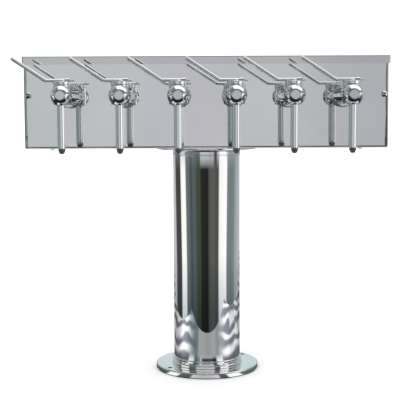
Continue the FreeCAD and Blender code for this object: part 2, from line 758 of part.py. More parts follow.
def spindle(x):
    """Plug with a cross port, and its stem; at rest the port lies along X and shuts the bore."""
    valve = vec(x, VALVE_Y, TAP_Z)
    low = CAVITY_DROP - SPINDLE_GAP
    plug = rod(SPINDLE_D / 2, valve - UP * low, UP, low + SPINDLE_TOP)
    stem = rod(STEM_D / 2, valve, UP, HUB_TOP - HUB_EDGE_R)
    part = plug.fuse(stem).removeSplitter()
    part = part.cut(rod(PORT_D / 2, valve - RIGHT * SPINDLE_D, RIGHT, 2 * SPINDLE_D))
    slot = vec(x - HUB_D, VALVE_Y, TAP_Z + LEVER_RISE)
    return part.cut(rod(LEVER_D / 2 + SEAT_GAP, slot, RIGHT, 2 * HUB_D))


def lever_hub(x):
    """Round cap on the stem; the lever lies across its top and through a small upright boss."""
    hub_r = HUB_D / 2
    boss_r = HUB_BOSS_D / 2
    edge_r = HUB_EDGE_R
    low_r = edge_r / 3
    top_r = HUB_BOSS_EDGE_R
    profile = [(0, HUB_LOW), (hub_r - low_r, HUB_LOW),
               corner(low_r, hub_r - low_r, HUB_LOW + low_r, -90, 0),
               (hub_r, HUB_TOP - edge_r),
               corner(edge_r, hub_r - edge_r, HUB_TOP - edge_r, 0, 90),
               (boss_r, HUB_TOP), (boss_r, HUB_BOSS_TOP - top_r),
               corner(top_r, boss_r - top_r, HUB_BOSS_TOP - top_r, 0, 90),
               (0, HUB_BOSS_TOP)]
    hub = turned(profile, vec(x, VALVE_Y, TAP_Z), UP)
    socket = vec(x, VALVE_Y, TAP_Z + HUB_LOW)
    hub = hub.cut(rod(STEM_D / 2 + SEAT_GAP, socket, UP, HUB_H - HUB_EDGE_R + SEAT_GAP))
    cross = vec(x - HUB_D, VALVE_Y, TAP_Z + LEVER_RISE)
    hub = hub.cut(rod(LEVER_D / 2 + SEAT_GAP, cross, RIGHT, 2 * HUB_D))
    nut_seat = vec(x + boss_r, VALVE_Y, TAP_Z + LEVER_RISE)
    return hub.cut(rod(LEVER_NUT_D / 2 + SEAT_GAP, nut_seat, RIGHT, HUB_D))


def lever(x):
    """Bent round bar with a rounded tip; its other end passes the boss and ends in a thread."""
    angle = math.radians(LEVER_ANGLE_DEG)
    bar_r = LEVER_D / 2
    shoulder_x = HUB_BOSS_D / 2
    tip_x = LEVER_REACH - bar_r
    tip_rise = LEVER_RISE + (tip_x - LEVER_BEND_X) * math.tan(angle)
    shoulder = vec(x + shoulder_x, VALVE_Y, TAP_Z + LEVER_RISE)
    bend = vec(x - LEVER_BEND_X, VALVE_Y, TAP_Z + LEVER_RISE)
    tip = vec(x - tip_x, VALVE_Y, TAP_Z + tip_rise)
    bar = swept_rod(bar_r, route([shoulder, bend, tip], [LEVER_BEND_R]))
    bar = bar.fuse(Part.makeSphere(bar_r, tip))
    return bar.fuse(rod(STUD_D / 2, shoulder, RIGHT, STUD_END_X - shoulder_x)).removeSplitter()


def lever_nut(x):
    """Round nut on the lever's threaded end, tight against the boss."""
    start = vec(x + HUB_BOSS_D / 2 + SEAT_GAP, VALVE_Y, TAP_Z + LEVER_RISE)
    outer_r = LEVER_NUT_D / 2
    edge_r = HUB_BOSS_EDGE_R
    bore_r = STUD_D / 2 + SEAT_GAP
    profile = [(bore_r, 0), (outer_r, 0), (outer_r, LEVER_NUT_L - edge_r),
               corner(edge_r, outer_r - edge_r, LEVER_NUT_L - edge_r, 0, 90),
               (bore_r, LEVER_NUT_L)]
    return turned(profile, start, RIGHT)


def spout(x):
    top = TAP_Z - SOCKET_TOP_DROP
    low = TAP_Z - SPOUT_DROP
    outer_r = SPOUT_D / 2
    return ring(outer_r, outer_r - SPOUT_WALL, vec(x, TAP_Y, low), UP, top - low)


def spout_tip(index):
    """Dark nozzle pushed into the spout's end, with a rounded belly and a fine bore."""
    rim_r = SPOUT_D / 2 - TIP_RIM_INSET
    plug_r = SPOUT_D / 2 - SPOUT_WALL - SEAT_GAP
    bore_r = TIP_BORE_D / 2
    height = TIP_DROP - SPOUT_DROP
    nose_r = TIP_NOSE_D / 2
    belly = ((rim_r + nose_r) / 2 + 0.9, -height + 1.3)
    profile = [(bore_r, TIP_PLUG_L), (plug_r, TIP_PLUG_L), (plug_r, 0), (rim_r, 0),
               (rim_r, -TIP_BELLY_H), (belly, (nose_r, -height)), (bore_r, -height)]
    return turned(profile, vec(tap_x(index), TAP_Y, TAP_Z - SPOUT_DROP), UP)


def save(name, shape):
    """Write one node and report a shape that is not sound."""
    if not shape.isValid():
        print("not valid:", name)
    shape.exportStep("parts/" + name + ".step")


TOWER_PIECES = {
    "base_gasket": base_gasket,
    "base_flange": base_flange,
    "foot_ring": foot_ring,
    "column_tube": column_tube,
    "column_insulation": column_insulation,
    "neck_flange": neck_flange,
    "neck_screws": neck_screws,
    "neck_nuts": neck_nuts,
    "box_body": box_body,
    "front_panel": front_panel,
    "top_cover": top_cover,
    "panel_screws": panel_screws,
    "floor_screws": floor_screws,
    "screw_nuts": screw_nuts,
}

TAP_GROUPS = {
    "shanks": lambda index: shank(tap_x(index)),
    "shank_nuts": lambda index: shank_nut(tap_x(index)),
    "coupling_nuts": lambda index: coupling_nut(tap_x(index)),
    "tail_elbows": tail_elbow,
    "tail_nuts": tail_nut,
    "wine_lines": wine_line,
    "front_plugs": front_plug,
    "gland_nuts": gland_nut,
    "packing_rings": packing_ring,
    "spout_tips": spout_tip,
}

PIECES_PER_TAP = {
    "tap_body": tap_body,
    "spout": spout,
    "spindle": spindle,
    "lever_hub": lever_hub,
    "lever": lever,
    "lever_nut": lever_nut,
}

for piece_name, make_piece in TOWER_PIECES.items():
    save(piece_name, make_piece())

for piece_name, make_piece in TAP_GROUPS.items():
    save(piece_name, each_tap(make_piece))

for piece_name, make_piece in PIECES_PER_TAP.items():
    for tap_index in range(TAP_COUNT):
        save(piece_name + "_" + str(tap_index + 1), make_piece(tap_x(tap_index)))
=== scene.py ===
"""Six-tap wine tower: polished pieces, their finishes and the studio, on the packed frame."""

import math

import bpy
import numpy as np
from bpy.props import FloatProperty, FloatVectorProperty, PointerProperty
from bpy.types import Operator, Panel, PropertyGroup
from mathutils import Matrix, Vector


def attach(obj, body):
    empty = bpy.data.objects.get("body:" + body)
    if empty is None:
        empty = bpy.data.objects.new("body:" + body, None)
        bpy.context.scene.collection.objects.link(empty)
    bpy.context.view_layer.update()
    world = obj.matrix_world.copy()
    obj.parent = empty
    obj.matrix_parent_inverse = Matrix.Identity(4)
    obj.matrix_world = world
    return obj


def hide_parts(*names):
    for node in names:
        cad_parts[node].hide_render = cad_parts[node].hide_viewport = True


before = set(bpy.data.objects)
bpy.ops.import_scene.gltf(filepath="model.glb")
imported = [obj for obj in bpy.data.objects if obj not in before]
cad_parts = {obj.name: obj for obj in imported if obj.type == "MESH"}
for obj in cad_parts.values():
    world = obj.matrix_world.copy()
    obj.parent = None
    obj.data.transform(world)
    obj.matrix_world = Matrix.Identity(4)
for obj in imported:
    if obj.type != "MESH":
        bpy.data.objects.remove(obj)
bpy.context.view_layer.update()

bl_info = {
    "name": "Six-tap wine tower",
    "version": (1, 0, 0),
    "blender": (4, 5, 0),
    "location": "View3D > Sidebar > Tower",
    "description": "Builds the pieces, finishes and studio of a six-tap wine tower",
    "category": "Object",
}

MM = 0.001
RIGHT, BACK, UP = np.eye(3)
ORIGIN = (0.0, 0.0, 0.0)
TAPS = range(1, 7)
SHARP = 35.0  # degrees between faces from which an edge stays sharp
FIT = 0.05 * MM  # room round a piece that sits in another
SPIGOT_RADIUS, SPIGOT_LENGTH = 13.2 * MM, 11.0 * MM
NO_NORMAL, NO_LENGTH, POLE, SAME_POINT, NO_SWEEP = 1e-20, 1e-12, 1e-9, 1e-8, 1e-6
COLUMN_TURNS, PLATE_TURNS, BODY_TURNS, RING_TURNS, ROUND_TURNS = 384, 256, 160, 144, 128
TUBE_TURNS, BORE_TURNS, GROOVE_TURNS, BOLT_TURNS, PIN_TURNS = 96, 72, 64, 48, 40


def length(default, about):
    """A length property in metres whose default is given in millimetres."""
    return FloatProperty(description=about, default=default * MM, unit="LENGTH", subtype="DISTANCE",
                         precision=5, min=0.0)


def turn(default, about):
    """An angle property whose default is given in degrees."""
    return FloatProperty(description=about, default=math.radians(default), unit="ROTATION",
                         subtype="ANGLE")


def tint(default, about):
    """A colour property."""
    return FloatVectorProperty(description=about, default=default, size=3, min=0.0, max=1.0,
                               subtype="COLOR")


def amount(default, about):
    """A plain number property."""
    return FloatProperty(description=about, default=default, min=0.0)


class TOWER_PG_stand(PropertyGroup):
    """Sizes of the base flange, foot ring, column and neck."""

    flange_radius: length(78.5, "Radius of the round base flange")
    flange_low: length(1.5, "Height of the flange's underside over the table")
    flange_high: length(8.5, "Height of the flange's top over the table")
    flange_edge: length(2.0, "Round of the flange's upper edge")
    passage_radius: length(44.0, "Radius of the line passage in both flanges")
    bolt_circle: length(70.0, "Radius of the circle of base bolts")
    bolt_hole: length(3.5, "Radius of each base bolt hole")
    bolt_turn: turn(36.0, "Angle of the first base bolt from the right")
    column_radius: length(50.8, "Outer radius of the column tube")
    column_wall: length(1.65, "Wall of the column tube")
    column_top: length(339.3, "Height of the column's upper end")
    ring_low_radius: length(54.2, "Radius of the foot ring's lower step")
    ring_low_top: length(13.0, "Height of the foot ring's lower step")
    ring_high_radius: length(52.7, "Radius of the foot ring's upper step")
    ring_high_top: length(19.5, "Height of the foot ring's upper step")
    ring_groove: length(0.20, "Depth of the grooves between the foot ring's beads")
    ring_edge: length(1.1, "Round of the foot ring's edges")
    seat_gap: length(0.05, "Clearance between seated pieces")
    neck_radius: length(76.2, "Radius of the disc under the box")
    neck_thick: length(2.5, "Thickness of the disc under the box")
    neck_edge: length(0.9, "Round of the disc's lower edge")
    sleeve_wall: length(1.05, "How far the neck sleeve stands outside the column")
    sleeve_height: length(9.3, "Height of the neck sleeve below the disc")
    bead_depth: length(0.36, "How far the bead at the sleeve's end stands out")
    bead_height: length(2.2, "Height of the bead at the sleeve's end")
    sleeve_fillet: length(3.0, "Hollow round between sleeve and disc")
    neck_screw_circle: length(59.0, "Radius of the circle of neck screws")


class TOWER_PG_tap(PropertyGroup):
    """Sizes of one tap, its shank and its lever."""

    pitch: length(79.8, "Distance from tap to tap")
    height: length(418.8, "Height of the taps' axes over the table")
    reach: length(106.5, "Distance from the panel to the ball's centre")
    valve_back: length(12.5, "Distance of the valve's axis behind the ball's centre")
    panel_front: length(51.0, "Distance of the panel's face from the column's axis")
    ball_radius: length(14.75, "Radius of the ball in front")
    ball_flat: length(12.9, "Distance of the ball's flat from its centre")
    barrel_radius: length(10.5, "Radius of the tap's barrel")
    bore_radius: length(3.25, "Radius of the bore through the tap")
    boss_radius: length(12.2, "Radius of the upright boss")
    boss_rise: length(14.7, "Height of the upright boss over the axis")
    boss_drop: length(12.5, "Depth of the upright boss below the axis")
    socket_radius: length(7.0, "Radius of the boss that holds the spout")
    socket_drop: length(13.5, "Depth of the socket boss below the axis")
    spout_radius: length(5.8, "Outer radius of the spout tube")
    spout_wall: length(1.0, "Wall of the spout tube")
    spout_top: length(10.2, "Depth of the spout's upper end below the axis")
    spout_drop: length(72.6, "Depth of the spout's lower end below the axis")
    tip_drop: length(79.8, "Depth of the nozzle's end below the axis")
    plug_radius: length(6.4, "Radius of the flat plug in the ball's front")
    plug_proud: length(0.4, "Height of the front plug over the ball's flat")
    tip_inset: length(0.8, "How much narrower the nozzle's rim is than the spout")
    hub_radius: length(12.5, "Radius of the lever hub")
    hub_low: length(15.0, "Height of the hub's underside over the axis")
    hub_high: length(19.5, "Height of the hub's top over the axis")
    hub_edge: length(1.2, "Round of the hub's upper edge")
    lever_radius: length(2.7, "Radius of the lever's bar")
    lever_rise: length(20.6, "Height of the lever's straight end over the axis")
    lever_bend_at: length(22.5, "Distance of the bend's corner from the valve")
    lever_bend: length(8.0, "Radius of the lever's bend")
    lever_angle: turn(33.5, "Rise of the lever's long end")
    lever_reach: length(70.4, "Distance of the lever's tip from the valve")
    stud_radius: length(1.5, "Radius of the lever's threaded end")
    stud_end: length(16.8, "Distance of the stud's end from the valve")
    stud_pitch: length(0.5, "Pitch of the stud's thread")
    collar_radius: length(17.5, "Radius of the shank's collar")
    collar_thick: length(5.0, "Thickness of the shank's collar")
    coupling_radius: length(16.5, "Radius of the coupling nut")
    coupling_edge: length(1.2, "Round of the coupling nut's edges")


class TOWER_PG_finish(PropertyGroup):
    """Colours and polish of the finishes."""

    steel: tint((0.80, 0.80, 0.79), "Colour of the polished column and flanges")
    sheet: tint((0.79, 0.79, 0.785), "Colour of the polished sheet of the box")
    chrome: tint((0.84, 0.85, 0.86), "Colour of the plated taps and levers")
    screw: tint((0.66, 0.66, 0.65), "Colour of the screws and nuts")
    spindle: tint((0.60, 0.60, 0.59), "Colour of the valve spindles")
    brass: tint((0.72, 0.52, 0.25), "Colour of the unplated brass pieces")
    tip: tint((0.045, 0.046, 0.048), "Colour of the spout nozzles")
    rubber: tint((0.020, 0.020, 0.021), "Colour of the base gasket")
    foam: tint((0.10, 0.10, 0.105), "Colour of the foam in the column")
    line: tint((0.72, 0.76, 0.78), "Colour of the wine lines")
    packing: tint((0.86, 0.85, 0.82), "Colour of the packing rings")
    polish: amount(0.006, "Roughness of a clean polished surface")
    smear: amount(0.02, "Roughness where the polish is smeared")


class TOWER_PG_studio(PropertyGroup):
    """Camera, table and light."""

    camera_place: FloatVectorProperty(description="Where the camera stands", size=3, unit="LENGTH",
                                      default=(-0.0137, -1.5233, 0.4016))
    camera_lens: FloatProperty(description="Focal length on a 36 mm wide sensor", default=89.55,
                               min=1.0, unit="CAMERA")
    camera_pitch: turn(5.3, "How far the camera looks down")
    camera_yaw: turn(0.14, "How far the camera looks to the right")
    camera_roll: turn(-0.25, "How far the camera leans")
    table_front: length(330.0, "Distance of the table's front edge from the column")
    daylight: amount(1.3, "Strength of the even light on the table")
    surround: amount(1.0, "Strength of what the polished surfaces reflect")


# Shapes worked out with numpy


def arc(centre_a, centre_b, radius, first, last, steps):
    """Points centre + radius (cos t, sin t) for t from first to last degrees."""
    t = np.radians(np.linspace(first, last, steps + 1))
    return np.column_stack([centre_a + radius * np.cos(t), centre_b + radius * np.sin(t)])


def arc_through(first, middle, last, steps):
    """Points on the circle through three points, from the first to the last past the middle one."""
    a, b, c = (complex(*p) for p in (first, middle, last))
    w = (c - a) / (b - a)
    centre = a + (b - a) * (w - abs(w) ** 2) / (2j * w.imag)
    t0, t1, t2 = (np.angle(p - centre) for p in (a, b, c))
    sweep = (t2 - t0) % (2 * np.pi)
    if (t1 - t0) % (2 * np.pi) > sweep:
        sweep -= 2 * np.pi
    t = t0 + sweep * np.linspace(0, 1, steps + 1)
    return np.column_stack([centre.real + abs(a - centre) * np.cos(t),
                            centre.imag + abs(a - centre) * np.sin(t)])


def unit(vectors, least=NO_LENGTH):
    """Rows of vectors brought to a length of one."""
    return vectors / np.maximum(np.linalg.norm(vectors, axis=1, keepdims=True), least)


def outline(corners, closed=True, steps=7):
    """Outline through corners (a, b) or (a, b, round). A round is the arc that touches both sides
    and starts round / tan(half the corner) from the corner, with one more point beside its ends."""
    given = np.array([(*corner, 0.0)[:3] for corner in corners], float)
    p, r, beside = given[:, :2], given[:, 2:], 0.12 * MM
    into, out = unit(np.roll(p, 1, axis=0) - p), unit(np.roll(p, -1, axis=0) - p)
    half = np.arccos(np.clip((into * out).sum(axis=1, keepdims=True), -1, 1)) / 2
    start = p + into * r / np.tan(half)
    end = p + out * r / np.tan(half)
    centre = p + unit(into + out) * r / np.sin(half)
    sweep = np.maximum(np.pi - 2 * half, NO_SWEEP)[:, None]
    k = np.linspace(0, 1, steps + 1)[None, :, None]
    rounds = (centre[:, None] + (start - centre)[:, None] * np.sin((1 - k) * sweep) / np.sin(sweep)
              + (end - centre)[:, None] * np.sin(k * sweep) / np.sin(sweep))
    space = beside * (r > 0)
    runs = [(start + into * space)[:, None], rounds, (end + out * space)[:, None]]
    points = np.concatenate(runs, axis=1).reshape(-1, 2)
    kept = np.linalg.norm(points - np.roll(points, 1, axis=0), axis=1) > SAME_POINT
    kept[0] |= not closed
    return points[kept]


def joined(*runs):
    """Several runs of points as one, without doubled points."""
    points = np.vstack(runs)
    return points[np.append(True, np.linalg.norm(np.diff(points, axis=0), axis=1) > SAME_POINT)]


def skin(grid, closed):
    """Faces of a grid of points (rows, turns): a quad for each cell, wrapped round the turns and,
    if closed, round the rows. A row that is one point is a pole with triangles round it."""
    rows, turns = grid.shape[:2]
    index = np.arange(rows * turns).reshape(rows, turns)
    pole = np.ptp(grid, axis=1).max(axis=1) < POLE
    index[pole] = index[pole][:, :1]
    low = index if closed else index[:-1]
    high = np.roll(index, -1, axis=0) if closed else index[1:]
    quads = np.stack([low, np.roll(low, -1, axis=1), np.roll(high, -1, axis=1), high], axis=-1)
    quads = quads.reshape(-1, 4)
    low_pole = quads[:, 0] == quads[:, 1]
    high_pole = quads[:, 2] == quads[:, 3]
    thirds = np.vstack([quads[low_pole][:, [0, 2, 3]], quads[high_pole][:, :3]])
    quads = quads[~(low_pole | high_pole)]
    points = grid.reshape(-1, 3)
    indices = np.concatenate([quads.ravel(), thirds.ravel()])
    used, renumbered = np.unique(indices, return_inverse=True)
    points = points[used]
    quads, thirds = np.split(renumbered, [quads.size])
    quads, thirds = quads.reshape(-1, 4), thirds.reshape(-1, 3)
    fans = np.vstack([quads[:, :3], quads[:, [0, 2, 3]], thirds])
    corners = points[fans] - points.mean(axis=0)
    if np.einsum("ij,ij->i", corners[:, 0], np.cross(corners[:, 1], corners[:, 2])).sum() < 0:
        quads, thirds = quads[:, ::-1], thirds[:, ::-1]
    return points, quads, thirds


def frame_of(axis):
    """Two directions square to an axis and to each other."""
    axis = np.asarray(axis, float)
    helper = RIGHT if abs(axis[2]) > 0.5 else UP
    across = np.cross(helper, axis)
    across /= np.linalg.norm(across)
    return across, np.cross(axis, across)


def turned(profile, origin, axis, turns, closed=True):
    """Surface of revolution: origin + h axis + r (cos t across + sin t along) for each (r, h)."""
    across, along = frame_of(axis)
    t = np.linspace(0, 2 * np.pi, turns, endpoint=False)
    ring = np.cos(t)[:, None] * across + np.sin(t)[:, None] * along
    middle = np.asarray(origin, float) + profile[:, 1:2] * np.asarray(axis, float)
    return skin(middle[:, None] + profile[:, :1, None] * ring[None], closed)


def copies(shell, places):
    """The same closed shell at several places."""
    points, quads, thirds = shell
    return [(points + np.asarray(place), quads, thirds) for place in places]


def circle_places(radius, degrees):
    """Points radius (cos t, sin t) at height nothing, for angles t in degrees."""
    t = np.radians(np.asarray(degrees, float))
    return np.column_stack([radius * np.cos(t), radius * np.sin(t), np.zeros(len(t))])


def post(radius, low, high, place, axis, turns, edge=0.0):
    """A closed round post about an axis through a place, with both edges rounded if asked."""
    profile = outline([(0.0, low), (radius, low, edge), (radius, high, edge),
                       (0.0, high)], False, 4)
    return turned(profile, place, axis, turns, False)


# Pieces in the scene


def linked(name, data):
    """A new object in the scene."""
    made = bpy.data.objects.new(name, data)
    bpy.context.scene.collection.objects.link(made)
    return made


def read(rows, key, width=1, kind=float):
    """One value, or a few, of each row of mesh data as an array."""
    values = np.zeros(len(rows) * width, kind)
    rows.foreach_get(key, values)
    return values.reshape(-1, width) if width > 1 else values


def smooth(mesh):
    """Shades a mesh smooth except across sharp edges: a corner's normal is the mean, weighed by
    area, of the faces round its point that lie within the sharp angle of its own face."""
    mesh.update()
    faces, corners = len(mesh.polygons), len(mesh.loops)
    flat, area = read(mesh.polygons, "normal", 3), read(mesh.polygons, "area")
    sizes = read(mesh.polygons, "loop_total", 1, int)
    point = read(mesh.loops, "vertex_index", 1, int)
    owner = np.repeat(np.arange(faces), sizes)
    order = np.argsort(point, kind="stable")
    count = np.bincount(point, minlength=len(mesh.vertices))
    each = count[point]
    mine = np.repeat(np.arange(corners), each)
    nth = np.arange(len(mine)) - np.repeat(np.cumsum(each) - each, each)
    other = order[(np.cumsum(count) - count)[point[mine]] + nth]
    first, second = owner[mine], owner[other]
    near = (flat[first] * flat[second]).sum(axis=1) > math.cos(math.radians(SHARP))
    weight = (area[second] + NO_LENGTH) * near
    sums = [np.bincount(mine, flat[second, k] * weight, corners) for k in range(3)]
    mesh.shade_smooth()
    mesh.normals_split_custom_set(unit(np.column_stack(sums), NO_NORMAL).tolist())


def mesh_from(name, points, faces):
    """A mesh of points and faces, smooth but for sharp edges."""
    mesh = bpy.data.meshes.new(name)
    mesh.from_pydata(points.tolist(), [], faces)
    smooth(mesh)
    return mesh


def shaped(name, shells):
    """A piece made of several closed shells."""
    starts = np.cumsum([0] + [len(points) for points, _, _ in shells[:-1]])
    points = np.vstack([points for points, _, _ in shells])
    quads = np.vstack([quads + start for (_, quads, _), start in zip(shells, starts)])
    thirds = np.vstack([thirds + start for (_, _, thirds), start in zip(shells, starts)])
    return linked(name, mesh_from(name, points, quads.tolist() + thirds.tolist()))


def applied(piece):
    """Keeps what a piece's modifiers make of its mesh."""
    depsgraph = bpy.context.evaluated_depsgraph_get()
    piece.data = bpy.data.meshes.new_from_object(piece.evaluated_get(depsgraph))
    piece.modifiers.clear()


def worked(piece, tools, operation="DIFFERENCE"):
    """Cuts tools out of a piece, or joins them to it, one after another, and keeps the result."""
    for shell in tools:
        tool = shaped("tool", [shell])
        work = piece.modifiers.new("work", "BOOLEAN")
        work.operation, work.solver, work.object = operation, "EXACT", tool
        applied(piece)
        bpy.data.objects.remove(tool)
    smooth(piece.data)


def placed(piece, node_name, body, look):
    """Gives a piece its finish and its body, and hides the frame node that it stands for."""
    piece.data.materials.clear()
    piece.data.materials.append(look)
    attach(piece, body)
    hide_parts(node_name)


def moved_copy(piece, name, x):
    """A copy of a piece with its mesh moved along X."""
    other = linked(name, piece.data.copy())
    other.data.transform(Matrix.Translation((x, 0.0, 0.0)))
    smooth(other.data)
    return other


def repeated(name, mesh, places):
    """A mesh of several copies of one mesh at several places."""
    points, loops = read(mesh.vertices, "co", 3), read(mesh.loops, "vertex_index", 1, int)
    faces = np.split(loops, np.cumsum(read(mesh.polygons, "loop_total", 1, int))[:-1])
    everything = np.vstack([points + np.array(place) for place in places])
    starts = [len(points) * number for number in range(len(places))]
    polygons = [(face + start).tolist() for start in starts for face in faces]
    return mesh_from(name, everything, polygons)


def welded_copy(name):
    """A smooth copy of a frame node: its loose triangles merged, its wide faces kept flat."""
    piece = linked(name + "_sheet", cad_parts[name].data.copy())
    weld = piece.modifiers.new("weld", "WELD")
    weld.merge_threshold = 0.001 * MM
    applied(piece)
    smooth(piece.data)
    return piece


def tap_x(number, sizes):
    """Place of a tap along X."""
    return (number - (len(TAPS) + 1) / 2) * sizes.pitch


def tap_places(sizes, numbers=TAPS):
    """The taps' places, for shells made about X = 0."""
    return [(tap_x(number, sizes), 0.0, 0.0) for number in numbers]


def tap_point(sizes, forward=0.0, back=0.0, rise=0.0):
    """Point on a tap's axis at X = 0, forward of the panel and then back and up."""
    return np.array([0.0, -sizes.panel_front - forward + back, sizes.height + rise])


# Finishes


def node(tree, kind, settings=None, inputs=None):
    """Adds a shader node, with its settings, and its inputs set or linked by name or number."""
    made = tree.nodes.new("ShaderNode" + kind)
    for key, value in (settings or {}).items():
        setattr(made, key, value)
    for key, value in (inputs or {}).items():
        if isinstance(value, bpy.types.NodeSocket):
            tree.links.new(value, made.inputs[key])
        else:
            made.inputs[key].default_value = value
    return made


def ramp(tree, factor, stops):
    """Colour ramp from (place, colour or grey) stops."""
    made = node(tree, "ValToRGB", inputs={"Fac": factor})
    points = made.color_ramp.elements
    for number, (place, colour) in enumerate(stops):
        point = points[number] if number < 2 else points.new(place)
        point.position = place
        point.color = (*((colour,) * 3 if isinstance(colour, (int, float)) else colour), 1.0)
    return made.outputs["Color"]


def fresh(owner):
    """The emptied node tree of a new material or world."""
    owner.use_nodes = True
    owner.node_tree.nodes.clear()
    return owner.node_tree


def noise(tree, place, scale, detail=3.0, stretch=None, roughness=0.5):
    """Noise value over a place socket, stretched by a scale for each axis."""
    if stretch:
        place = node(tree, "Mapping", inputs={"Vector": place, "Scale": stretch}).outputs["Vector"]
    inputs = {"Vector": place, "Scale": scale, "Detail": detail, "Roughness": roughness}
    return node(tree, "TexNoise", inputs=inputs).outputs["Fac"]


def between(tree, value, low, high, first=0.3, last=0.7):
    """Value mapped from the range first to last onto low to high."""
    made = node(tree, "MapRange", inputs={"Value": value, "From Min": first, "From Max": last,
                                          "To Min": low, "To Max": high})
    return made.outputs["Result"]


def bumped(tree, heights):
    """Normal from several (height, depth in metres, strength) bumps laid over each other."""
    normal = None
    for height, depth, strength in heights:
        inputs = {"Height": height, "Distance": depth, "Strength": strength}
        if normal is not None:
            inputs["Normal"] = normal
        normal = node(tree, "Bump", inputs=inputs).outputs["Normal"]
    return normal


def calc(tree, kind, *values):
    """Result of one step of arithmetic on numbers or sockets."""
    return node(tree, "Math", {"operation": kind}, dict(enumerate(values))).outputs[0]


def mixed(tree, share, first, second, kind="MIX"):
    """Colour between two colours, or between the first and their product, by a share."""
    return node(tree, "MixRGB", {"blend_type": kind},
                {"Fac": share, "Color1": first, "Color2": second}).outputs[0]


def shade(colour, factor):
    """A colour made lighter or darker."""
    return tuple(min(1.0, part * factor) for part in colour)


def folded(tree, place, start, slope):
    """Height that falls at a slope beyond a distance from X = 0, as at the ends of a bent sheet."""
    across = calc(tree, "ABSOLUTE", node(tree, "SeparateXYZ", inputs={0: place}).outputs[0])
    waver, width = noise(tree, place, 24.0, 2.0, stretch=(0.0, 0.0, 1.0)), 0.005
    wavering = calc(tree, "MULTIPLY_ADD", waver, width, across)
    beyond = calc(tree, "SUBTRACT", wavering, start + width / 2)
    return calc(tree, "MULTIPLY", calc(tree, "MAXIMUM", beyond, 0.0), -slope)


def metal(tree, place, colour, clean, smeared, swell=0.0, swell_scale=10.0, hair=(1.0, 1.0, 1.0),
          hair_depth=0.0003, fold=None, bright=1.0):
    """Polished or turned metal: faint patches of colour, smears in the polish, long swells of the
    sheet, fine hairlines from polishing and, if asked, bent ends of the sheet. Depths are in
    millimetres. A bright share below one leaves the rest milky and paler, which is painted light."""
    patches = noise(tree, place, 14.0, 4.0)
    tone = ramp(tree, patches, [(0.3, shade(colour, 0.965)), (0.7, shade(colour, 1.02))])
    smears = noise(tree, place, 38.0, 6.0, roughness=0.62)
    fine = noise(tree, place, 900.0, 2.0, stretch=hair)
    wear = calc(tree, "MULTIPLY_ADD", fine, 0.25, smears)
    heights = [(fine, hair_depth * MM, 1.0)]
    if swell:
        heights.append((noise(tree, place, swell_scale, 1.5), swell * MM, 1.0))
    if fold:
        heights.append((folded(tree, place, *fold), 1.0, 1.0))
    return {"Base Color": tone, "Metallic": bright, "Normal": bumped(tree, heights),
            "Roughness": between(tree, wear, clean, smeared, first=0.5, last=0.85)}


def moulded(tree, place, colour, clean, worn, grain, depth, coat=0.0, soft=0.0):
    """Plastic or rubber: patches of colour, dull and bright spots, and a grain (in millimetres)."""
    patches = noise(tree, place, 60.0, 4.0)
    tone = ramp(tree, patches, [(0.3, shade(colour, 0.86)), (0.7, shade(colour, 1.12))])
    spots = noise(tree, place, 220.0, 5.0)
    normal = bumped(tree, [(noise(tree, place, grain, 3.0), depth * MM, 1.0)])
    return {"Base Color": tone, "Roughness": between(tree, spots, clean, worn), "Normal": normal,
            "Coat Weight": coat, "Coat Roughness": 0.06, "Subsurface Weight": soft,
            "Subsurface Scale": 2.0 * MM}


def foamed(tree, place, colour):
    """Closed-cell foam: small cells from a cell pattern, with painted shade darker between them."""
    cells = node(tree, "TexVoronoi", inputs={"Vector": place, "Scale": 900.0}).outputs["Distance"]
    # Painted shade: the foam is darker towards the edges of its cells.
    tone = ramp(tree, cells, [(0.1, shade(colour, 1.2)), (0.9, shade(colour, 0.6))])
    return {"Base Color": tone, "Roughness": between(tree, noise(tree, place, 50.0), 0.85, 0.97),
            "Normal": bumped(tree, [(cells, 0.25 * MM, 0.7)])}


def tubing(tree, place, colour):
    """Milky wine line: clear plastic that scatters, with faint draw marks along it."""
    cloud = noise(tree, place, 70.0, 3.0)
    tone = ramp(tree, cloud, [(0.3, shade(colour, 0.93)), (0.7, shade(colour, 1.04))])
    marks = noise(tree, place, 600.0, 2.0, stretch=(1.0, 1.0, 0.05))
    return {"Base Color": tone, "Roughness": between(tree, cloud, 0.16, 0.3), "IOR": 1.5,
            "Transmission Weight": 0.35, "Normal": bumped(tree, [(marks, 0.02 * MM, 0.6)])}


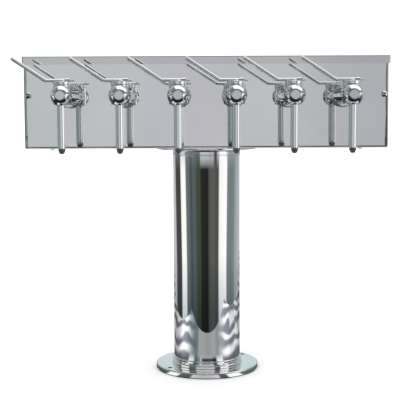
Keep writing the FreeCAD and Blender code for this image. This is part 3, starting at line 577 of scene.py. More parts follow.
def finish(kind):
    """A finish by kind, made the first time that it is asked for."""
    name = kind + "_finish"
    if name in bpy.data.materials:
        return bpy.data.materials[name]
    look = bpy.context.scene.tower_finish
    sheet, chrome, clean, smeared = look.sheet, look.chrome, look.polish, look.smear
    metals = {
        "polished_column": dict(colour=look.steel, swell=0.02, swell_scale=16.0,
                                hair=(1.0, 1.0, 0.04), hair_depth=0.0004),
        "polished_steel": dict(colour=look.steel, hair=(1.0, 1.0, 0.2), hair_depth=0.0005),
        "polished_sheet": dict(colour=sheet, clean=clean * 1.2, swell=0.05, hair=(0.04, 1.0, 1.0),
                               hair_depth=0.0005, fold=(0.2642, 0.15)),
        # Painted shade: the cover is the box's sheet made darker, with a little more roughness.
        "cover_sheet_painted_shade": dict(colour=shade(sheet, 0.87), clean=clean * 1.5, swell=0.03,
                            hair=(0.04, 1.0, 1.0), hair_depth=0.0005),
        "chrome_plate": dict(colour=chrome, clean=clean * 0.8, smeared=smeared * 0.8),
        # Painted shade: the front plugs are the taps' chrome made darker.
        "plug_plate_painted_shade": dict(colour=shade(chrome, 0.81), clean=clean * 1.5),
        # Painted light: the levers are the taps' chrome made paler and partly non-metallic, so
        # milky, and also rougher.
        "lever_plate_painted_light": dict(colour=shade(chrome, 1.08), clean=0.10, smeared=0.16, bright=0.87),
        "screw_steel": dict(colour=look.screw, clean=0.12, smeared=0.24, hair_depth=0.002),
        "polished_screw": dict(colour=chrome, clean=0.03, smeared=0.06, hair_depth=0.0005),
        "spindle_steel": dict(colour=look.spindle, clean=0.16, smeared=0.3, hair=(1.0, 1.0, 6.0),
                              hair_depth=0.003),
        "bare_brass": dict(colour=look.brass, clean=0.2, smeared=0.38, hair=(1.0, 6.0, 1.0),
                           hair_depth=0.004),
    }
    others = {
        "tip_plastic": (moulded, dict(colour=look.tip, clean=0.08, worn=0.14, grain=700.0,
                                      depth=0.004, coat=1.0)),
        "gasket_rubber": (moulded, dict(colour=look.rubber, clean=0.55, worn=0.75, grain=500.0,
                                        depth=0.08)),
        "packing_plastic": (moulded, dict(colour=look.packing, clean=0.35, worn=0.5, grain=600.0,
                                          depth=0.02, soft=0.2)),
        "foam": (foamed, dict(colour=look.foam)),
        "line_plastic": (tubing, dict(colour=look.line)),
    }
    polish = {"clean": clean, "smeared": smeared}
    make, settings = others.get(kind) or (metal, {**polish, **metals[kind]})
    material = bpy.data.materials.new(name)
    tree = fresh(material)
    inputs = make(tree, node(tree, "TexCoord").outputs["Object"], **settings)
    shader = node(tree, "BsdfPrincipled", inputs=inputs)
    node(tree, "OutputMaterial", inputs={"Surface": shader.outputs["BSDF"]})
    return material


# Operators


class TOWER_OT_base_flange(Operator):
    """Builds the round base flange with its four bolt holes"""

    bl_idname = "tower.base_flange"
    bl_label = "Base flange"

    def execute(self, context):
        s = context.scene.tower_stand
        broken, past, bolts = 0.3 * MM, 1.0 * MM, 4
        profile = outline([(s.passage_radius, s.flange_low),
                           (s.flange_radius, s.flange_low, broken),
                           (s.flange_radius, s.flange_high, s.flange_edge),
                           (s.passage_radius, s.flange_high, broken)])
        piece = shaped("base_flange_plate", [turned(profile, ORIGIN, UP, PLATE_TURNS)])
        angles = math.degrees(s.bolt_turn) + np.arange(bolts) * 360.0 / bolts
        hole = post(s.bolt_hole, s.flange_low - past, s.flange_high + past, ORIGIN, UP, BOLT_TURNS)
        worked(piece, copies(hole, circle_places(s.bolt_circle, angles)))
        placed(piece, "base_flange", "tower", finish("polished_steel"))
        return {"FINISHED"}


class TOWER_OT_foot_ring(Operator):
    """Builds the two-step trim ring round the column's foot, with three shallow beads"""

    bl_idname = "tower.foot_ring"
    bl_label = "Foot ring"

    def execute(self, context):
        s = context.scene.tower_stand
        low_edge, sharp_edge, bead_edge = 0.5 * MM, 0.1 * MM, 0.35 * s.ring_edge
        inner = s.column_radius + s.seat_gap
        middle = (s.ring_low_top + s.ring_high_top) / 2
        wide, deep = s.ring_high_radius, s.ring_high_radius - s.ring_groove
        profile = outline([(inner, s.flange_high), (s.ring_low_radius, s.flange_high, low_edge),
                           (s.ring_low_radius, s.ring_low_top, s.ring_edge),
                           (deep, s.ring_low_top, sharp_edge),
                           (wide, s.ring_low_top + s.ring_groove, bead_edge),
                           (wide, middle - s.ring_groove, bead_edge), (deep, middle, sharp_edge),
                           (wide, middle + s.ring_groove, bead_edge),
                           (wide, s.ring_high_top, s.ring_edge), (inner, s.ring_high_top)])
        piece = shaped("foot_ring_trim", [turned(profile, ORIGIN, UP, PLATE_TURNS)])
        placed(piece, "foot_ring", "tower", finish("polished_steel"))
        return {"FINISHED"}


class TOWER_OT_column(Operator):
    """Builds the polished column tube"""

    bl_idname = "tower.column"
    bl_label = "Column"

    def execute(self, context):
        s = context.scene.tower_stand
        broken = 0.2 * MM
        inner = s.column_radius - s.column_wall
        profile = outline([(inner, s.flange_high), (s.column_radius, s.flange_high, broken),
                           (s.column_radius, s.column_top, broken), (inner, s.column_top)], steps=3)
        piece = shaped("column_pipe", [turned(profile, ORIGIN, UP, COLUMN_TURNS)])
        placed(piece, "column_tube", "tower", finish("polished_column"))
        return {"FINISHED"}


class TOWER_OT_neck(Operator):
    """Builds the thin disc and sleeve between column and box"""

    bl_idname = "tower.neck"
    bl_label = "Neck flange"

    def execute(self, context):
        s = context.scene.tower_stand
        low_edge, top_edge, past = 0.8 * MM, 0.25 * MM, 1.0 * MM
        head, hole, sunk, bearings = 4.05 * MM, 2.15 * MM, 2.1 * MM, (30.0, 150.0, 210.0, 330.0)
        inner = s.column_radius + s.seat_gap
        sleeve = s.column_radius + s.sleeve_wall
        low, top = s.column_top - s.sleeve_height, s.column_top + s.neck_thick
        waist, bead = sleeve - s.bead_depth, low + s.bead_height
        profile = outline([(inner, low), (sleeve, low, low_edge),
                           (sleeve, bead, 0.7 * s.bead_depth), (waist, bead, 0.25 * s.bead_depth),
                           (waist, s.column_top, s.sleeve_fillet),
                           (s.neck_radius, s.column_top, s.neck_edge),
                           (s.neck_radius, top, top_edge), (s.passage_radius, top),
                           (s.passage_radius, s.column_top), (inner, s.column_top)])
        piece = shaped("neck_disc", [turned(profile, ORIGIN, UP, PLATE_TURNS)])
        sink = outline([(0.0, s.column_top - past), (head, s.column_top - past),
                        (head, s.column_top), (hole, s.column_top + sunk), (hole, top + past),
                        (0.0, top + past)], False)
        worked(piece, copies(turned(sink, ORIGIN, UP, BOLT_TURNS, False),
                             circle_places(s.neck_screw_circle, bearings)))
        placed(piece, "neck_flange", "tower", finish("polished_steel"))
        return {"FINISHED"}


class TOWER_OT_box(Operator):
    """Builds the box: folded body, front panel and top cover, with even, polished sheets"""

    bl_idname = "tower.box"
    bl_label = "Box"

    def execute(self, context):
        # The top cover gets the darker sheet, a painted shade.
        looks = (("box_body", "polished_sheet"), ("front_panel", "polished_sheet"),
                 ("top_cover", "cover_sheet_painted_shade"))
        for name, look in looks:
            placed(welded_copy(name), name, "tower", finish(look))
        return {"FINISHED"}


class TOWER_OT_box_screws(Operator):
    """Builds the dome-headed screws in the panel's ends and under the box, with cross recesses"""

    bl_idname = "tower.box_screws"
    bl_label = "Box screws"

    def head(self, centre, axis, radius, height):
        """A dome head outside a point and a shank behind it, turned about one axis. The dome is a
        cap of a ball of radius (radius^2 + rise^2) / (2 rise). Its rim is 1/4 of the height."""
        shank, thread, rows = 6.6 * MM, 2.0 * MM, 20
        rise = height * 0.75
        ball = (radius ** 2 + rise ** 2) / (2 * rise)
        span = math.degrees(math.asin(radius / ball))
        dome = arc(0.0, height - ball, ball, 90.0 - span, 90.0, rows)
        profile = joined([(0.0, -shank), (thread, -shank), (thread, 0.0), (radius, 0.0)], dome)
        profile[-1, 0] = 0.0
        return turned(profile, centre, axis, BORE_TURNS, False)

    def recess(self, centre, axis, height, wide):
        """Two crossed tapered slots: a four-point star that narrows towards its bottom."""
        corners, narrow = np.arange(8), 0.34
        levels, depth = np.array([0.35, 1.15]), np.array([-1.6, 0.6]) * MM
        across, along = frame_of(axis)
        t = np.radians(corners * 45.0)
        reach = np.where(corners % 2 == 0, wide, wide * narrow)
        star = (np.cos(t)[:, None] * across + np.sin(t)[:, None] * along) * reach[:, None]
        middle = np.asarray(centre) + (height + depth)[:, None] * np.asarray(axis)
        rings = middle[:, None] + levels[:, None, None] * star[None]
        ends = np.repeat(middle[:, None], len(corners), axis=1)
        return skin(np.concatenate([ends[:1], rings, ends[1:]]), False)

    def execute(self, context):
        front = -context.scene.tower_tap.panel_front
        rows = (("panel", (261.9 * MM, front, 420.0 * MM), -BACK, (4.9, 3.1, 2.3)),
                ("floor", (228.5 * MM, -43.0 * MM, 341.8 * MM), -UP, (3.8, 2.4, 1.8)))
        for name, (x, y, z), axis, sizes in rows:
            radius, height, wide = (size * MM for size in sizes)
            centres = [(-x, y, z), (x, y, z)]
            heads = [self.head(centre, axis, radius, height) for centre in centres]
            piece = shaped(name + "_screw_heads", heads)
            worked(piece, [self.recess(centre, axis, height, wide) for centre in centres])
            placed(piece, name + "_screws", "tower", finish("polished_screw"))
        return {"FINISHED"}


class TOWER_OT_shanks(Operator):
    """Builds the six hollow shanks with their collars"""

    bl_idname = "tower.shanks"
    bl_label = "Shanks"

    def execute(self, context):
        s = context.scene.tower_tap
        thread, tail, tail_edge = 11.0 * MM, -32.0 * MM, 0.5 * MM
        collar, thick, front = s.collar_radius, s.collar_thick, s.collar_thick + SPIGOT_LENGTH
        profile = outline([(s.bore_radius, tail), (thread, tail, tail_edge), (thread, 0.0),
                           (collar, 0.0), (collar, thick, thick / 4), (SPIGOT_RADIUS, thick),
                           (SPIGOT_RADIUS, front), (s.bore_radius, front)])
        shell = turned(profile, tap_point(s), -BACK, ROUND_TURNS)
        piece = shaped("shank_collars", copies(shell, tap_places(s)))
        placed(piece, "shanks", "tower", finish("chrome_plate"))
        return {"FINISHED"}


class TOWER_OT_couplings(Operator):
    """Builds the six coupling nuts with the spanner holes in their rims"""

    bl_idname = "tower.couplings"
    bl_label = "Coupling nuts"

    def execute(self, context):
        s = context.scene.tower_tap
        start, lip, front = (s.collar_thick + extra * MM for extra in (1.0, 14.0, 17.0))
        bore, lip_bore, broken = SPIGOT_RADIUS + FIT, s.barrel_radius + FIT, 0.2 * MM
        holes, pin, sunk = 6, 2.3 * MM, 2.2 * MM
        profile = outline([(bore, start, broken), (s.coupling_radius, start, s.coupling_edge),
                           (s.coupling_radius, front, s.coupling_edge), (lip_bore, front, broken),
                           (lip_bore, lip), (bore, lip)])
        piece = shaped("coupling_rings", [turned(profile, tap_point(s), -BACK, RING_TURNS)])
        middle, tools = tap_point(s, (start + front) / 2), []
        for angle in np.radians(np.arange(holes) * 360.0 / holes):
            outward = np.cos(angle) * RIGHT + np.sin(angle) * UP
            inside = middle + outward * (s.coupling_radius - sunk)
            tools.append(post(pin, 0.0, 2 * sunk, inside, outward, PIN_TURNS))
        worked(piece, tools)
        piece.data = repeated(piece.name, piece.data, tap_places(s))
        placed(piece, "coupling_nuts", "tower", finish("chrome_plate"))
        return {"FINISHED"}


class TOWER_OT_tap_bodies(Operator):
    """Builds the six tap bodies: ball, barrel and flange in one turned shape, with both bosses"""

    bl_idname = "tower.tap_bodies"
    bl_label = "Tap bodies"

    def turned_part(self, s, back):
        """Flange, barrel, hollow round, ball and flat front, turned about the tap's axis. The
        hollow round touches barrel and ball: its centre is their radius plus its own from the axis
        and from the ball's centre."""
        flange, broken, foot = 3.0 * MM, 0.2 * MM, 0.4 * MM
        throat, throat_rows, ball_rows, rim, rim_rows = 1.6 * MM, 10, 48, 2.2 * MM, 4
        ball, front = s.ball_radius, s.reach + s.ball_flat
        aside = s.barrel_radius + throat
        meet = math.sqrt((ball + throat) ** 2 - aside ** 2)
        lean = math.degrees(math.atan2(aside, meet))
        barrel = outline([(0.0, back), (SPIGOT_RADIUS, back, broken),
                          (SPIGOT_RADIUS, back + flange, broken),
                          (s.barrel_radius, back + flange, foot),
                          (s.barrel_radius, s.reach - meet)], False)
        hollow = arc(aside, s.reach - meet, throat, 180.0, 90.0 + lean, throat_rows)
        flat_from = math.degrees(math.asin(s.ball_flat / ball))
        globe = arc(0.0, s.reach, ball, lean - 90.0, flat_from, ball_rows)
        flat_radius = math.sqrt(ball ** 2 - s.ball_flat ** 2)
        face = outline([globe[-3], (flat_radius, front, rim), (0.0, front)], False, rim_rows)
        profile = joined(barrel, hollow, globe[:-3], face)
        return turned(profile, tap_point(s), -BACK, BODY_TURNS, False)

    def execute(self, context):
        s = context.scene.tower_tap
        back, past, boss_edge = s.collar_thick + SPIGOT_LENGTH, 1.0 * MM, 0.35 * MM
        piece = shaped("tap_body", [self.turned_part(s, back)])
        ball_at, valve_at = tap_point(s, s.reach), tap_point(s, s.reach, s.valve_back)
        joins = [(s.boss_radius, -s.boss_drop, s.boss_rise, valve_at),
                 (s.socket_radius, -s.socket_drop, 0.0, ball_at)]
        worked(piece, [post(*sizes, UP, ROUND_TURNS, boss_edge) for sizes in joins], "UNION")
        valve, gland, seat, outlet = 7.05 * MM, 9.05 * MM, 12.8 * MM, 3.0 * MM
        valve_low, gland_low, gland_high, seat_high = -9.5 * MM, 8.5 * MM, 16.0 * MM, 20.0 * MM
        plug_low, plug_high, outlet_low, spout_low = -14.0 * MM, -4.0 * MM, -16.0 * MM, -17.0 * MM
        cuts = [(valve, valve_low, gland_high, valve_at, UP),
                (gland, gland_low, gland_high, valve_at, UP),
                (seat, s.boss_rise, seat_high, valve_at, UP),
                (s.bore_radius, 0.0, s.reach - back + past, ball_at, BACK),
                (s.plug_radius + FIT, plug_low, plug_high, ball_at, BACK),
                (outlet, outlet_low, 0.0, ball_at, UP),
                (s.spout_radius + FIT, spout_low, -s.spout_top, ball_at, UP)]
        worked(piece, [post(*sizes, BORE_TURNS) for sizes in cuts])
        for number in TAPS:
            copy = moved_copy(piece, f"tap_casting_{number}", tap_x(number, s))
            placed(copy, f"tap_body_{number}", "tower", finish("chrome_plate"))
        bpy.data.objects.remove(piece)
        return {"FINISHED"}


class TOWER_OT_front_plugs(Operator):
    """Builds the six flat-faced plugs in the balls' fronts"""

    bl_idname = "tower.front_plugs"
    bl_label = "Front plugs"

    def execute(self, context):
        s = context.scene.tower_tap
        inside, inner_edge, face_edge = -8.85 * MM, 0.2 * MM, 0.38 * MM
        profile = outline([(0.0, inside), (s.plug_radius, inside, inner_edge),
                           (s.plug_radius, s.plug_proud, face_edge), (0.0, s.plug_proud)], False, 5)
        shell = turned(profile, tap_point(s, s.reach, -s.ball_flat), -BACK, ROUND_TURNS, False)
        piece = shaped("plug_heads", copies(shell, tap_places(s)))
        placed(piece, "front_plugs", "tower", finish("plug_plate_painted_shade"))
        return {"FINISHED"}


class TOWER_OT_spouts(Operator):
    """Builds the six spout tubes and their dark nozzles"""

    bl_idname = "tower.spouts"
    bl_label = "Spouts"

    def tube(self, s):
        """Half section of the spout tube: (distance from its axis, height over the tap's axis)."""
        inner, low_in, low_out = s.spout_radius - s.spout_wall, 0.15 * MM, 0.25 * MM
        return outline([(inner, -s.spout_drop, low_in), (s.spout_radius, -s.spout_drop, low_out),
                        (s.spout_radius, -s.spout_top), (inner, -s.spout_top)], steps=4)

    def nozzle(self, s):
        """Half section of the nozzle: a plug in the tube, then a circle through rim and nose."""
        bore, nose, neck, narrower = 1.9 * MM, 2.4 * MM, -0.9 * MM, 0.5 * MM
        plug_high, plug_edge, belly_rows = 6.0 * MM, 0.2 * MM, 16
        rim, plug = s.spout_radius - s.tip_inset, s.spout_radius - s.spout_wall - FIT
        low = s.spout_drop - s.tip_drop
        head = outline([(bore, low), (bore, plug_high, plug_edge), (plug, plug_high, plug_edge),
                        (plug, 0.0), (rim, 0.0), (rim, neck)], False, 4)
        belly = arc_through((rim, neck), (rim - narrower, low / 2), (nose, low), belly_rows)
        return joined(head, belly) - (0.0, s.spout_drop)

    def execute(self, context):
        s = context.scene.tower_tap
        origin = tap_point(s, s.reach)
        tube = turned(self.tube(s), origin, UP, TUBE_TURNS)
        for number in TAPS:
            piece = shaped(f"spout_tube_{number}", copies(tube, tap_places(s, [number])))
            placed(piece, f"spout_{number}", "tower", finish("chrome_plate"))
        tip = turned(self.nozzle(s), origin, UP, TUBE_TURNS)
        piece = shaped("nozzles", copies(tip, tap_places(s)))
        placed(piece, "spout_tips", "tower", finish("tip_plastic"))
        return {"FINISHED"}


class TOWER_OT_hubs(Operator):
    """Builds the six lever hubs with the groove that each lever lies in"""

    bl_idname = "tower.hubs"
    bl_label = "Lever hubs"

    def execute(self, context):
        s = context.scene.tower_tap
        boss, boss_high, boss_edge, low_edge = 4.5 * MM, s.hub_high + 2.3 * MM, 0.9 * MM, 0.4 * MM
        stem, nut, into, far, past = 4.05 * MM, 3.55 * MM, 0.2 * MM, 20.0 * MM, 1.0 * MM
        profile = outline([(0.0, s.hub_low), (s.hub_radius, s.hub_low, low_edge),
                           (s.hub_radius, s.hub_high, s.hub_edge), (boss, s.hub_high),
                           (boss, boss_high, boss_edge), (0.0, boss_high)], False)
        valve_at = tap_point(s, s.reach, s.valve_back)
        piece = shaped("hub", [turned(profile, valve_at, UP, RING_TURNS, False)])
        lever_at = tap_point(s, s.reach, s.valve_back, s.lever_rise)
        cuts = [(stem, s.hub_low - past, s.hub_high - s.hub_edge + FIT, valve_at, UP),
                (s.lever_radius + FIT, -far, far, lever_at, RIGHT),
                (nut, boss - into, far, lever_at, RIGHT)]
        worked(piece, [post(*sizes, GROOVE_TURNS) for sizes in cuts])
        for number in TAPS:
            copy = moved_copy(piece, f"hub_cap_{number}", tap_x(number, s))
            placed(copy, f"lever_hub_{number}", f"lever_set_{number}",
                   finish("chrome_plate"))
        bpy.data.objects.remove(piece)
        return {"FINISHED"}


class TOWER_OT_levers(Operator):
    """Builds the six bent levers with their threaded ends, and the nuts on them"""

    bl_idname = "tower.levers"
    bl_label = "Levers"

    def section(self, s, shoulder, bend_from, bend_to):
        """(place, radius) along the bar, from the thread's end over a shoulder to the round tip."""
        edge, beside, edge_rows, cap_rows = 0.15 * MM, 0.1 * MM, 4, 20
        chamfer, rows_a_pitch, rows, long_rows = 0.5 * MM, 10, 24, 60
        radius, angle = s.lever_radius, s.lever_angle
        run = s.stud_end - shoulder
        cut = s.lever_bend * math.tan(angle / 2)
        whole = bend_to + (s.lever_reach - radius - s.lever_bend_at) / math.cos(angle) - cut
        along = np.linspace(0.0, run, int(run / s.stud_pitch * rows_a_pitch))
        stud = np.column_stack([along - run, s.stud_radius - np.clip(chamfer - along, 0.0, None)])
        face = [(0.0, s.stud_radius), (0.0, radius - edge - beside), (0.0, radius - edge)]
        rounded = arc(edge, radius - edge, edge, 180.0, 90.0, edge_rows)
        spans = ((edge + beside, bend_from, rows), (bend_from, bend_to, rows),
                 (bend_to, whole, long_rows))
        even = [np.column_stack([np.linspace(first, last, count), np.full(count, radius)])
                for first, last, count in spans]
        t = np.linspace(0, np.pi / 2, cap_rows)
        cap = np.column_stack([whole + radius * np.sin(t), radius * np.cos(t)])
        cap[-1, 1] = 0.0
        return joined([(-run, 0.0)], stud, face, rounded, *even, cap)

    def bar(self, s):
        """A round profile carried along a bent line: straight, an arc about the bend's centre,
        straight. The threaded end's ridges follow pitch * (place / pitch - angle / a full turn)."""
        shoulder, ridge_depth, fade_run = 4.5 * MM, 0.27 * MM, 0.4 * MM
        clear, core = 0.1 * MM, 0.5 * MM
        bend_from = s.lever_bend_at + shoulder - s.lever_bend * math.tan(s.lever_angle / 2)
        bend_to = bend_from + s.lever_bend * s.lever_angle
        place, size = self.section(s, shoulder, bend_from, bend_to).T
        t = np.linspace(0, 2 * np.pi, BORE_TURNS, endpoint=False)
        wave = (place[:, None] / s.stud_pitch - t[None] / (2 * np.pi)) % 1.0
        fade = np.clip((place + s.stud_end - shoulder) / fade_run, 0, 1)
        fade *= (place < -clear) & (size > core)
        size = size[:, None] - np.abs(wave * 2 - 1) * ridge_depth * fade[:, None]
        bent = np.clip((place - bend_from) / s.lever_bend, 0.0, s.lever_angle)
        before, after = np.minimum(place, bend_from), np.clip(place - bend_to, 0.0, None)
        flat = np.zeros_like(bent)
        middle = np.column_stack([
            shoulder - before - s.lever_bend * np.sin(bent) - after * math.cos(s.lever_angle), flat,
            s.lever_bend * (1 - np.cos(bent)) + after * math.sin(s.lever_angle)])
        side = np.column_stack([np.sin(bent), flat, np.cos(bent)])
        ring = np.cos(t)[None, :, None] * side[:, None] + np.sin(t)[None, :, None] * BACK
        lever_at = tap_point(s, s.reach, s.valve_back, s.lever_rise)
        return skin(lever_at + middle[:, None] + size[..., None] * ring, False)

    def nut(self, s):
        """The round nut on the threaded end, against the hub's boss."""
        low, high, outer = 4.55 * MM, 11.55 * MM, 3.5 * MM
        low_edge, high_edge, bore_edge = 0.3 * MM, 0.9 * MM, 0.15 * MM
        bore = s.stud_radius + FIT
        profile = outline([(bore, low), (outer, low, low_edge), (outer, high, high_edge),
                           (bore, high, bore_edge)])
        return turned(profile, tap_point(s, s.reach, s.valve_back, s.lever_rise), RIGHT, BORE_TURNS)

    def execute(self, context):
        s = context.scene.tower_tap
        rows = (("lever_bar", "lever", self.bar(s), "lever_plate_painted_light"),
                ("stud_nut", "lever_nut", self.nut(s), "chrome_plate"))
        for number in TAPS:
            for name, node_name, shell, look in rows:
                piece = shaped(f"{name}_{number}", copies(shell, tap_places(s, [number])))
                placed(piece, f"{node_name}_{number}", f"lever_set_{number}",
                       finish(look))
        return {"FINISHED"}


class TOWER_OT_inner_pieces(Operator):
    """Gives each listed piece that keeps its frame shape the finish listed for it"""

    bl_idname = "tower.inner_pieces"
    bl_label = "Inner pieces"

    def execute(self, context):
        kept = {
            "gasket_rubber": ["base_gasket"],
            "foam": ["column_insulation"],
            "screw_steel": ["neck_screws", "neck_nuts", "screw_nuts"],
            "bare_brass": ["shank_nuts", "tail_nuts", "gland_nuts"],
            "spindle_steel": ["tail_elbows"] + [f"spindle_{number}" for number in TAPS],
            "line_plastic": ["wine_lines"],
            "packing_plastic": ["packing_rings"],
        }
        for name, nodes in kept.items():
            for piece in (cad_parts[n] for n in nodes):
                piece.data.materials.clear()
                piece.data.materials.append(finish(name))
        return {"FINISHED"}


# What the polished surfaces reflect: (bearing from the front in degrees, positive to the right, or
# height in degrees; grey or colour)

# The table tones below are painted light and shade: the table glows with them in reflections.
PAINTED_TABLE_CLOSE = (
    (-180, (0.10, 0.11, 0.10)), (-57, (0.11, 0.12, 0.11)), (-54, 1.2), (-40, 1.15),
    (-37, (0.10, 0.14, 0.13)), (-22, (0.10, 0.14, 0.13)), (-19, 0.8), (-8, 0.6), (6, 0.65),
    (14, 0.8), (16, (0.09, 0.10, 0.15)), (25, (0.10, 0.11, 0.16)), (28, 1.25), (44, 1.25),
    (48, (0.16, 0.165, 0.16)), (180, (0.10, 0.105, 0.10)))
PAINTED_TABLE_WIDE = (
    (-180, 0.45), (-135, 0.30), (-112, 0.42), (-94, 0.66), (-84, 1.15), (-76, 1.1), (-66, 0.82),
    (-54, (0.38, 0.45, 0.45)), (-43, (0.20, 0.26, 0.26)), (-32, (0.17, 0.21, 0.21)), (-24, 0.45),
    (-10, 0.44), (0, 0.38), (21, 0.45), (32, 0.33), (43, 0.55), (55, 0.85), (68, 0.92), (80, 0.66),
    (94, 0.56), (111, 0.65), (133, 0.33), (180, 0.30))
PAINTED_TABLE_WAVES = ((0.15, (0.36, 0.38, 0.44)), (0.5, 0.8), (0.85, 1.5))
ROOM_LOW = (
    (-180, (0.66, 0.68, 0.68)), (-166, (0.60, 0.62, 0.62)), (-130, (0.60, 0.61, 0.68)),
    (-125, (0.075, 0.080, 0.070)), (-97, (0.070, 0.078, 0.062)), (-93.5, 1.2), (-75, 1.25),
    (-71, (0.17, 0.20, 0.20)), (-60, (0.15, 0.18, 0.18)), (-54, (0.075, 0.10, 0.12)),
    (-50, (0.075, 0.10, 0.12)), (-45, (0.12, 0.15, 0.15)), (-33, (0.085, 0.11, 0.10)),
    (-29, (0.045, 0.055, 0.050)), (-27, (0.075, 0.088, 0.058)), (-21, (0.068, 0.080, 0.055)),
    (-18, (0.026, 0.029, 0.023)), (4, (0.020, 0.021, 0.021)), (8, (0.10, 0.105, 0.095)),
    (20, (0.128, 0.134, 0.122)), (33, (0.095, 0.10, 0.092)), (39, (0.09, 0.095, 0.088)), (43, 1.15),
    (69, 1.3), (73, (0.25, 0.28, 0.295)), (90, (0.20, 0.255, 0.255)), (106, (0.25, 0.30, 0.31)),
    (113, (0.42, 0.45, 0.47)), (150, (0.55, 0.60, 0.62)), (180, (0.66, 0.68, 0.68)))
ROOM_LEVEL = (
    (-180, (0.44, 0.48, 0.49)), (-150, (0.36, 0.41, 0.41)), (-100, (0.27, 0.33, 0.32)),
    (-24, (0.27, 0.33, 0.32)), (23, (0.26, 0.27, 0.27)), (25, (0.05, 0.055, 0.05)),
    (32, (0.06, 0.065, 0.06)), (34, 1.2), (64, 1.2), (68, (0.58, 0.56, 0.58)),
    (100, (0.56, 0.55, 0.57)), (115, (0.36, 0.42, 0.42)), (180, (0.44, 0.48, 0.49)))
ROOM_WALL = (
    (-180, (0.64, 0.76, 0.80)), (-140, (0.45, 0.50, 0.52)), (-113, (0.35, 0.37, 0.38)), (-110, 1.0),
    (-98, 1.0), (-95, (0.13, 0.15, 0.16)), (-40, (0.08, 0.09, 0.09)), (0, (0.12, 0.12, 0.125)),
    (45, (0.09, 0.09, 0.10)), (58, (0.09, 0.09, 0.10)), (62, 1.2), (100, 1.2),
    (104, (0.33, 0.34, 0.36)), (140, (0.45, 0.50, 0.52)), (180, (0.64, 0.76, 0.80)))
ROOM_DOME = (
    (-180, (0.68, 0.80, 0.84)), (-120, (0.34, 0.36, 0.37)), (-60, (0.16, 0.17, 0.18)),
    (0, (0.10, 0.105, 0.11)), (50, (0.13, 0.135, 0.14)), (110, (0.30, 0.32, 0.33)),
    (180, (0.68, 0.80, 0.84)))
ROOM_APRON = (
    (-180, (0.68, 0.80, 0.84)), (-125, (0.60, 0.66, 0.68)), (-97, 0.08), (-92, 1.1),
    (-66, 1.1), (-60, (0.11, 0.16, 0.15)), (-40, (0.11, 0.16, 0.15)), (-34, 0.75), (22, 0.75),
    (27, (0.09, 0.10, 0.14)), (41, (0.09, 0.10, 0.14)), (46, 1.15), (72, 1.15),
    (78, (0.14, 0.145, 0.14)), (120, (0.50, 0.55, 0.57)), (180, (0.68, 0.80, 0.84)))
CARD_TONE = ((-11, (0.62, 0.65, 0.66)), (-6, (0.64, 0.66, 0.69)), (0, (0.61, 0.61, 0.66)),
             (5, (0.63, 0.65, 0.66)), (9, (0.53, 0.545, 0.58)))
LOW_FALL = ((-12, (0.55, 0.60, 0.66)), (-8.5, 1.0))
# PAINTED_SHADE_TONE is the tone of the painted shade that the table glows with in reflections.
COOL, PAINTED_SHADE_TONE = (0.97, 0.99, 1.03, 1.0), (0.015, 0.015, 0.017, 1.0)
GROUND, LAMP = (0.02, 0.02, 0.02, 1.0), (1.3, 1.3, 1.31, 1.0)


def bearing_of(tree, split, share=1.0):
    """Bearing from the front, right positive, times a share, as a part of a turn, plus a half."""
    front = calc(tree, "MULTIPLY", split[1], -1.0)
    turned_by = calc(tree, "MULTIPLY", calc(tree, "ARCTAN2", split[0], front), share)
    return calc(tree, "MULTIPLY_ADD", turned_by, 0.5 / math.pi, 0.5)


def by_bearing(tree, bearing, stops):
    """Ramp with its places in degrees of bearing."""
    return ramp(tree, bearing, [(degrees / 360.0 + 0.5, tone) for degrees, tone in stops])


def by_height(tree, height, stops):
    """Ramp with its places in degrees of height."""
    return ramp(tree, height, [(degrees / 180.0 + 0.5, tone) for degrees, tone in stops])


def onset(first, last):
    """Stops that rise from nothing to full."""
    return (first, 0.0), (last, 1.0)


def window(start, full, still_full, end, top=1.0):
    """Stops that rise from nothing, hold and fall again."""
    return (start, 0.0), (full, top), (still_full, top), (end, 0.0)


def mirrored_apart(tree, seen, mirrored):
    """One shader where a surface is seen straight, another where polished surfaces reflect it."""
    glossy = node(tree, "LightPath").outputs["Is Glossy Ray"]
    inputs = {0: glossy, 1: seen.outputs[0], 2: mirrored.outputs[0]}
    return node(tree, "MixShader", inputs=inputs).outputs[0]


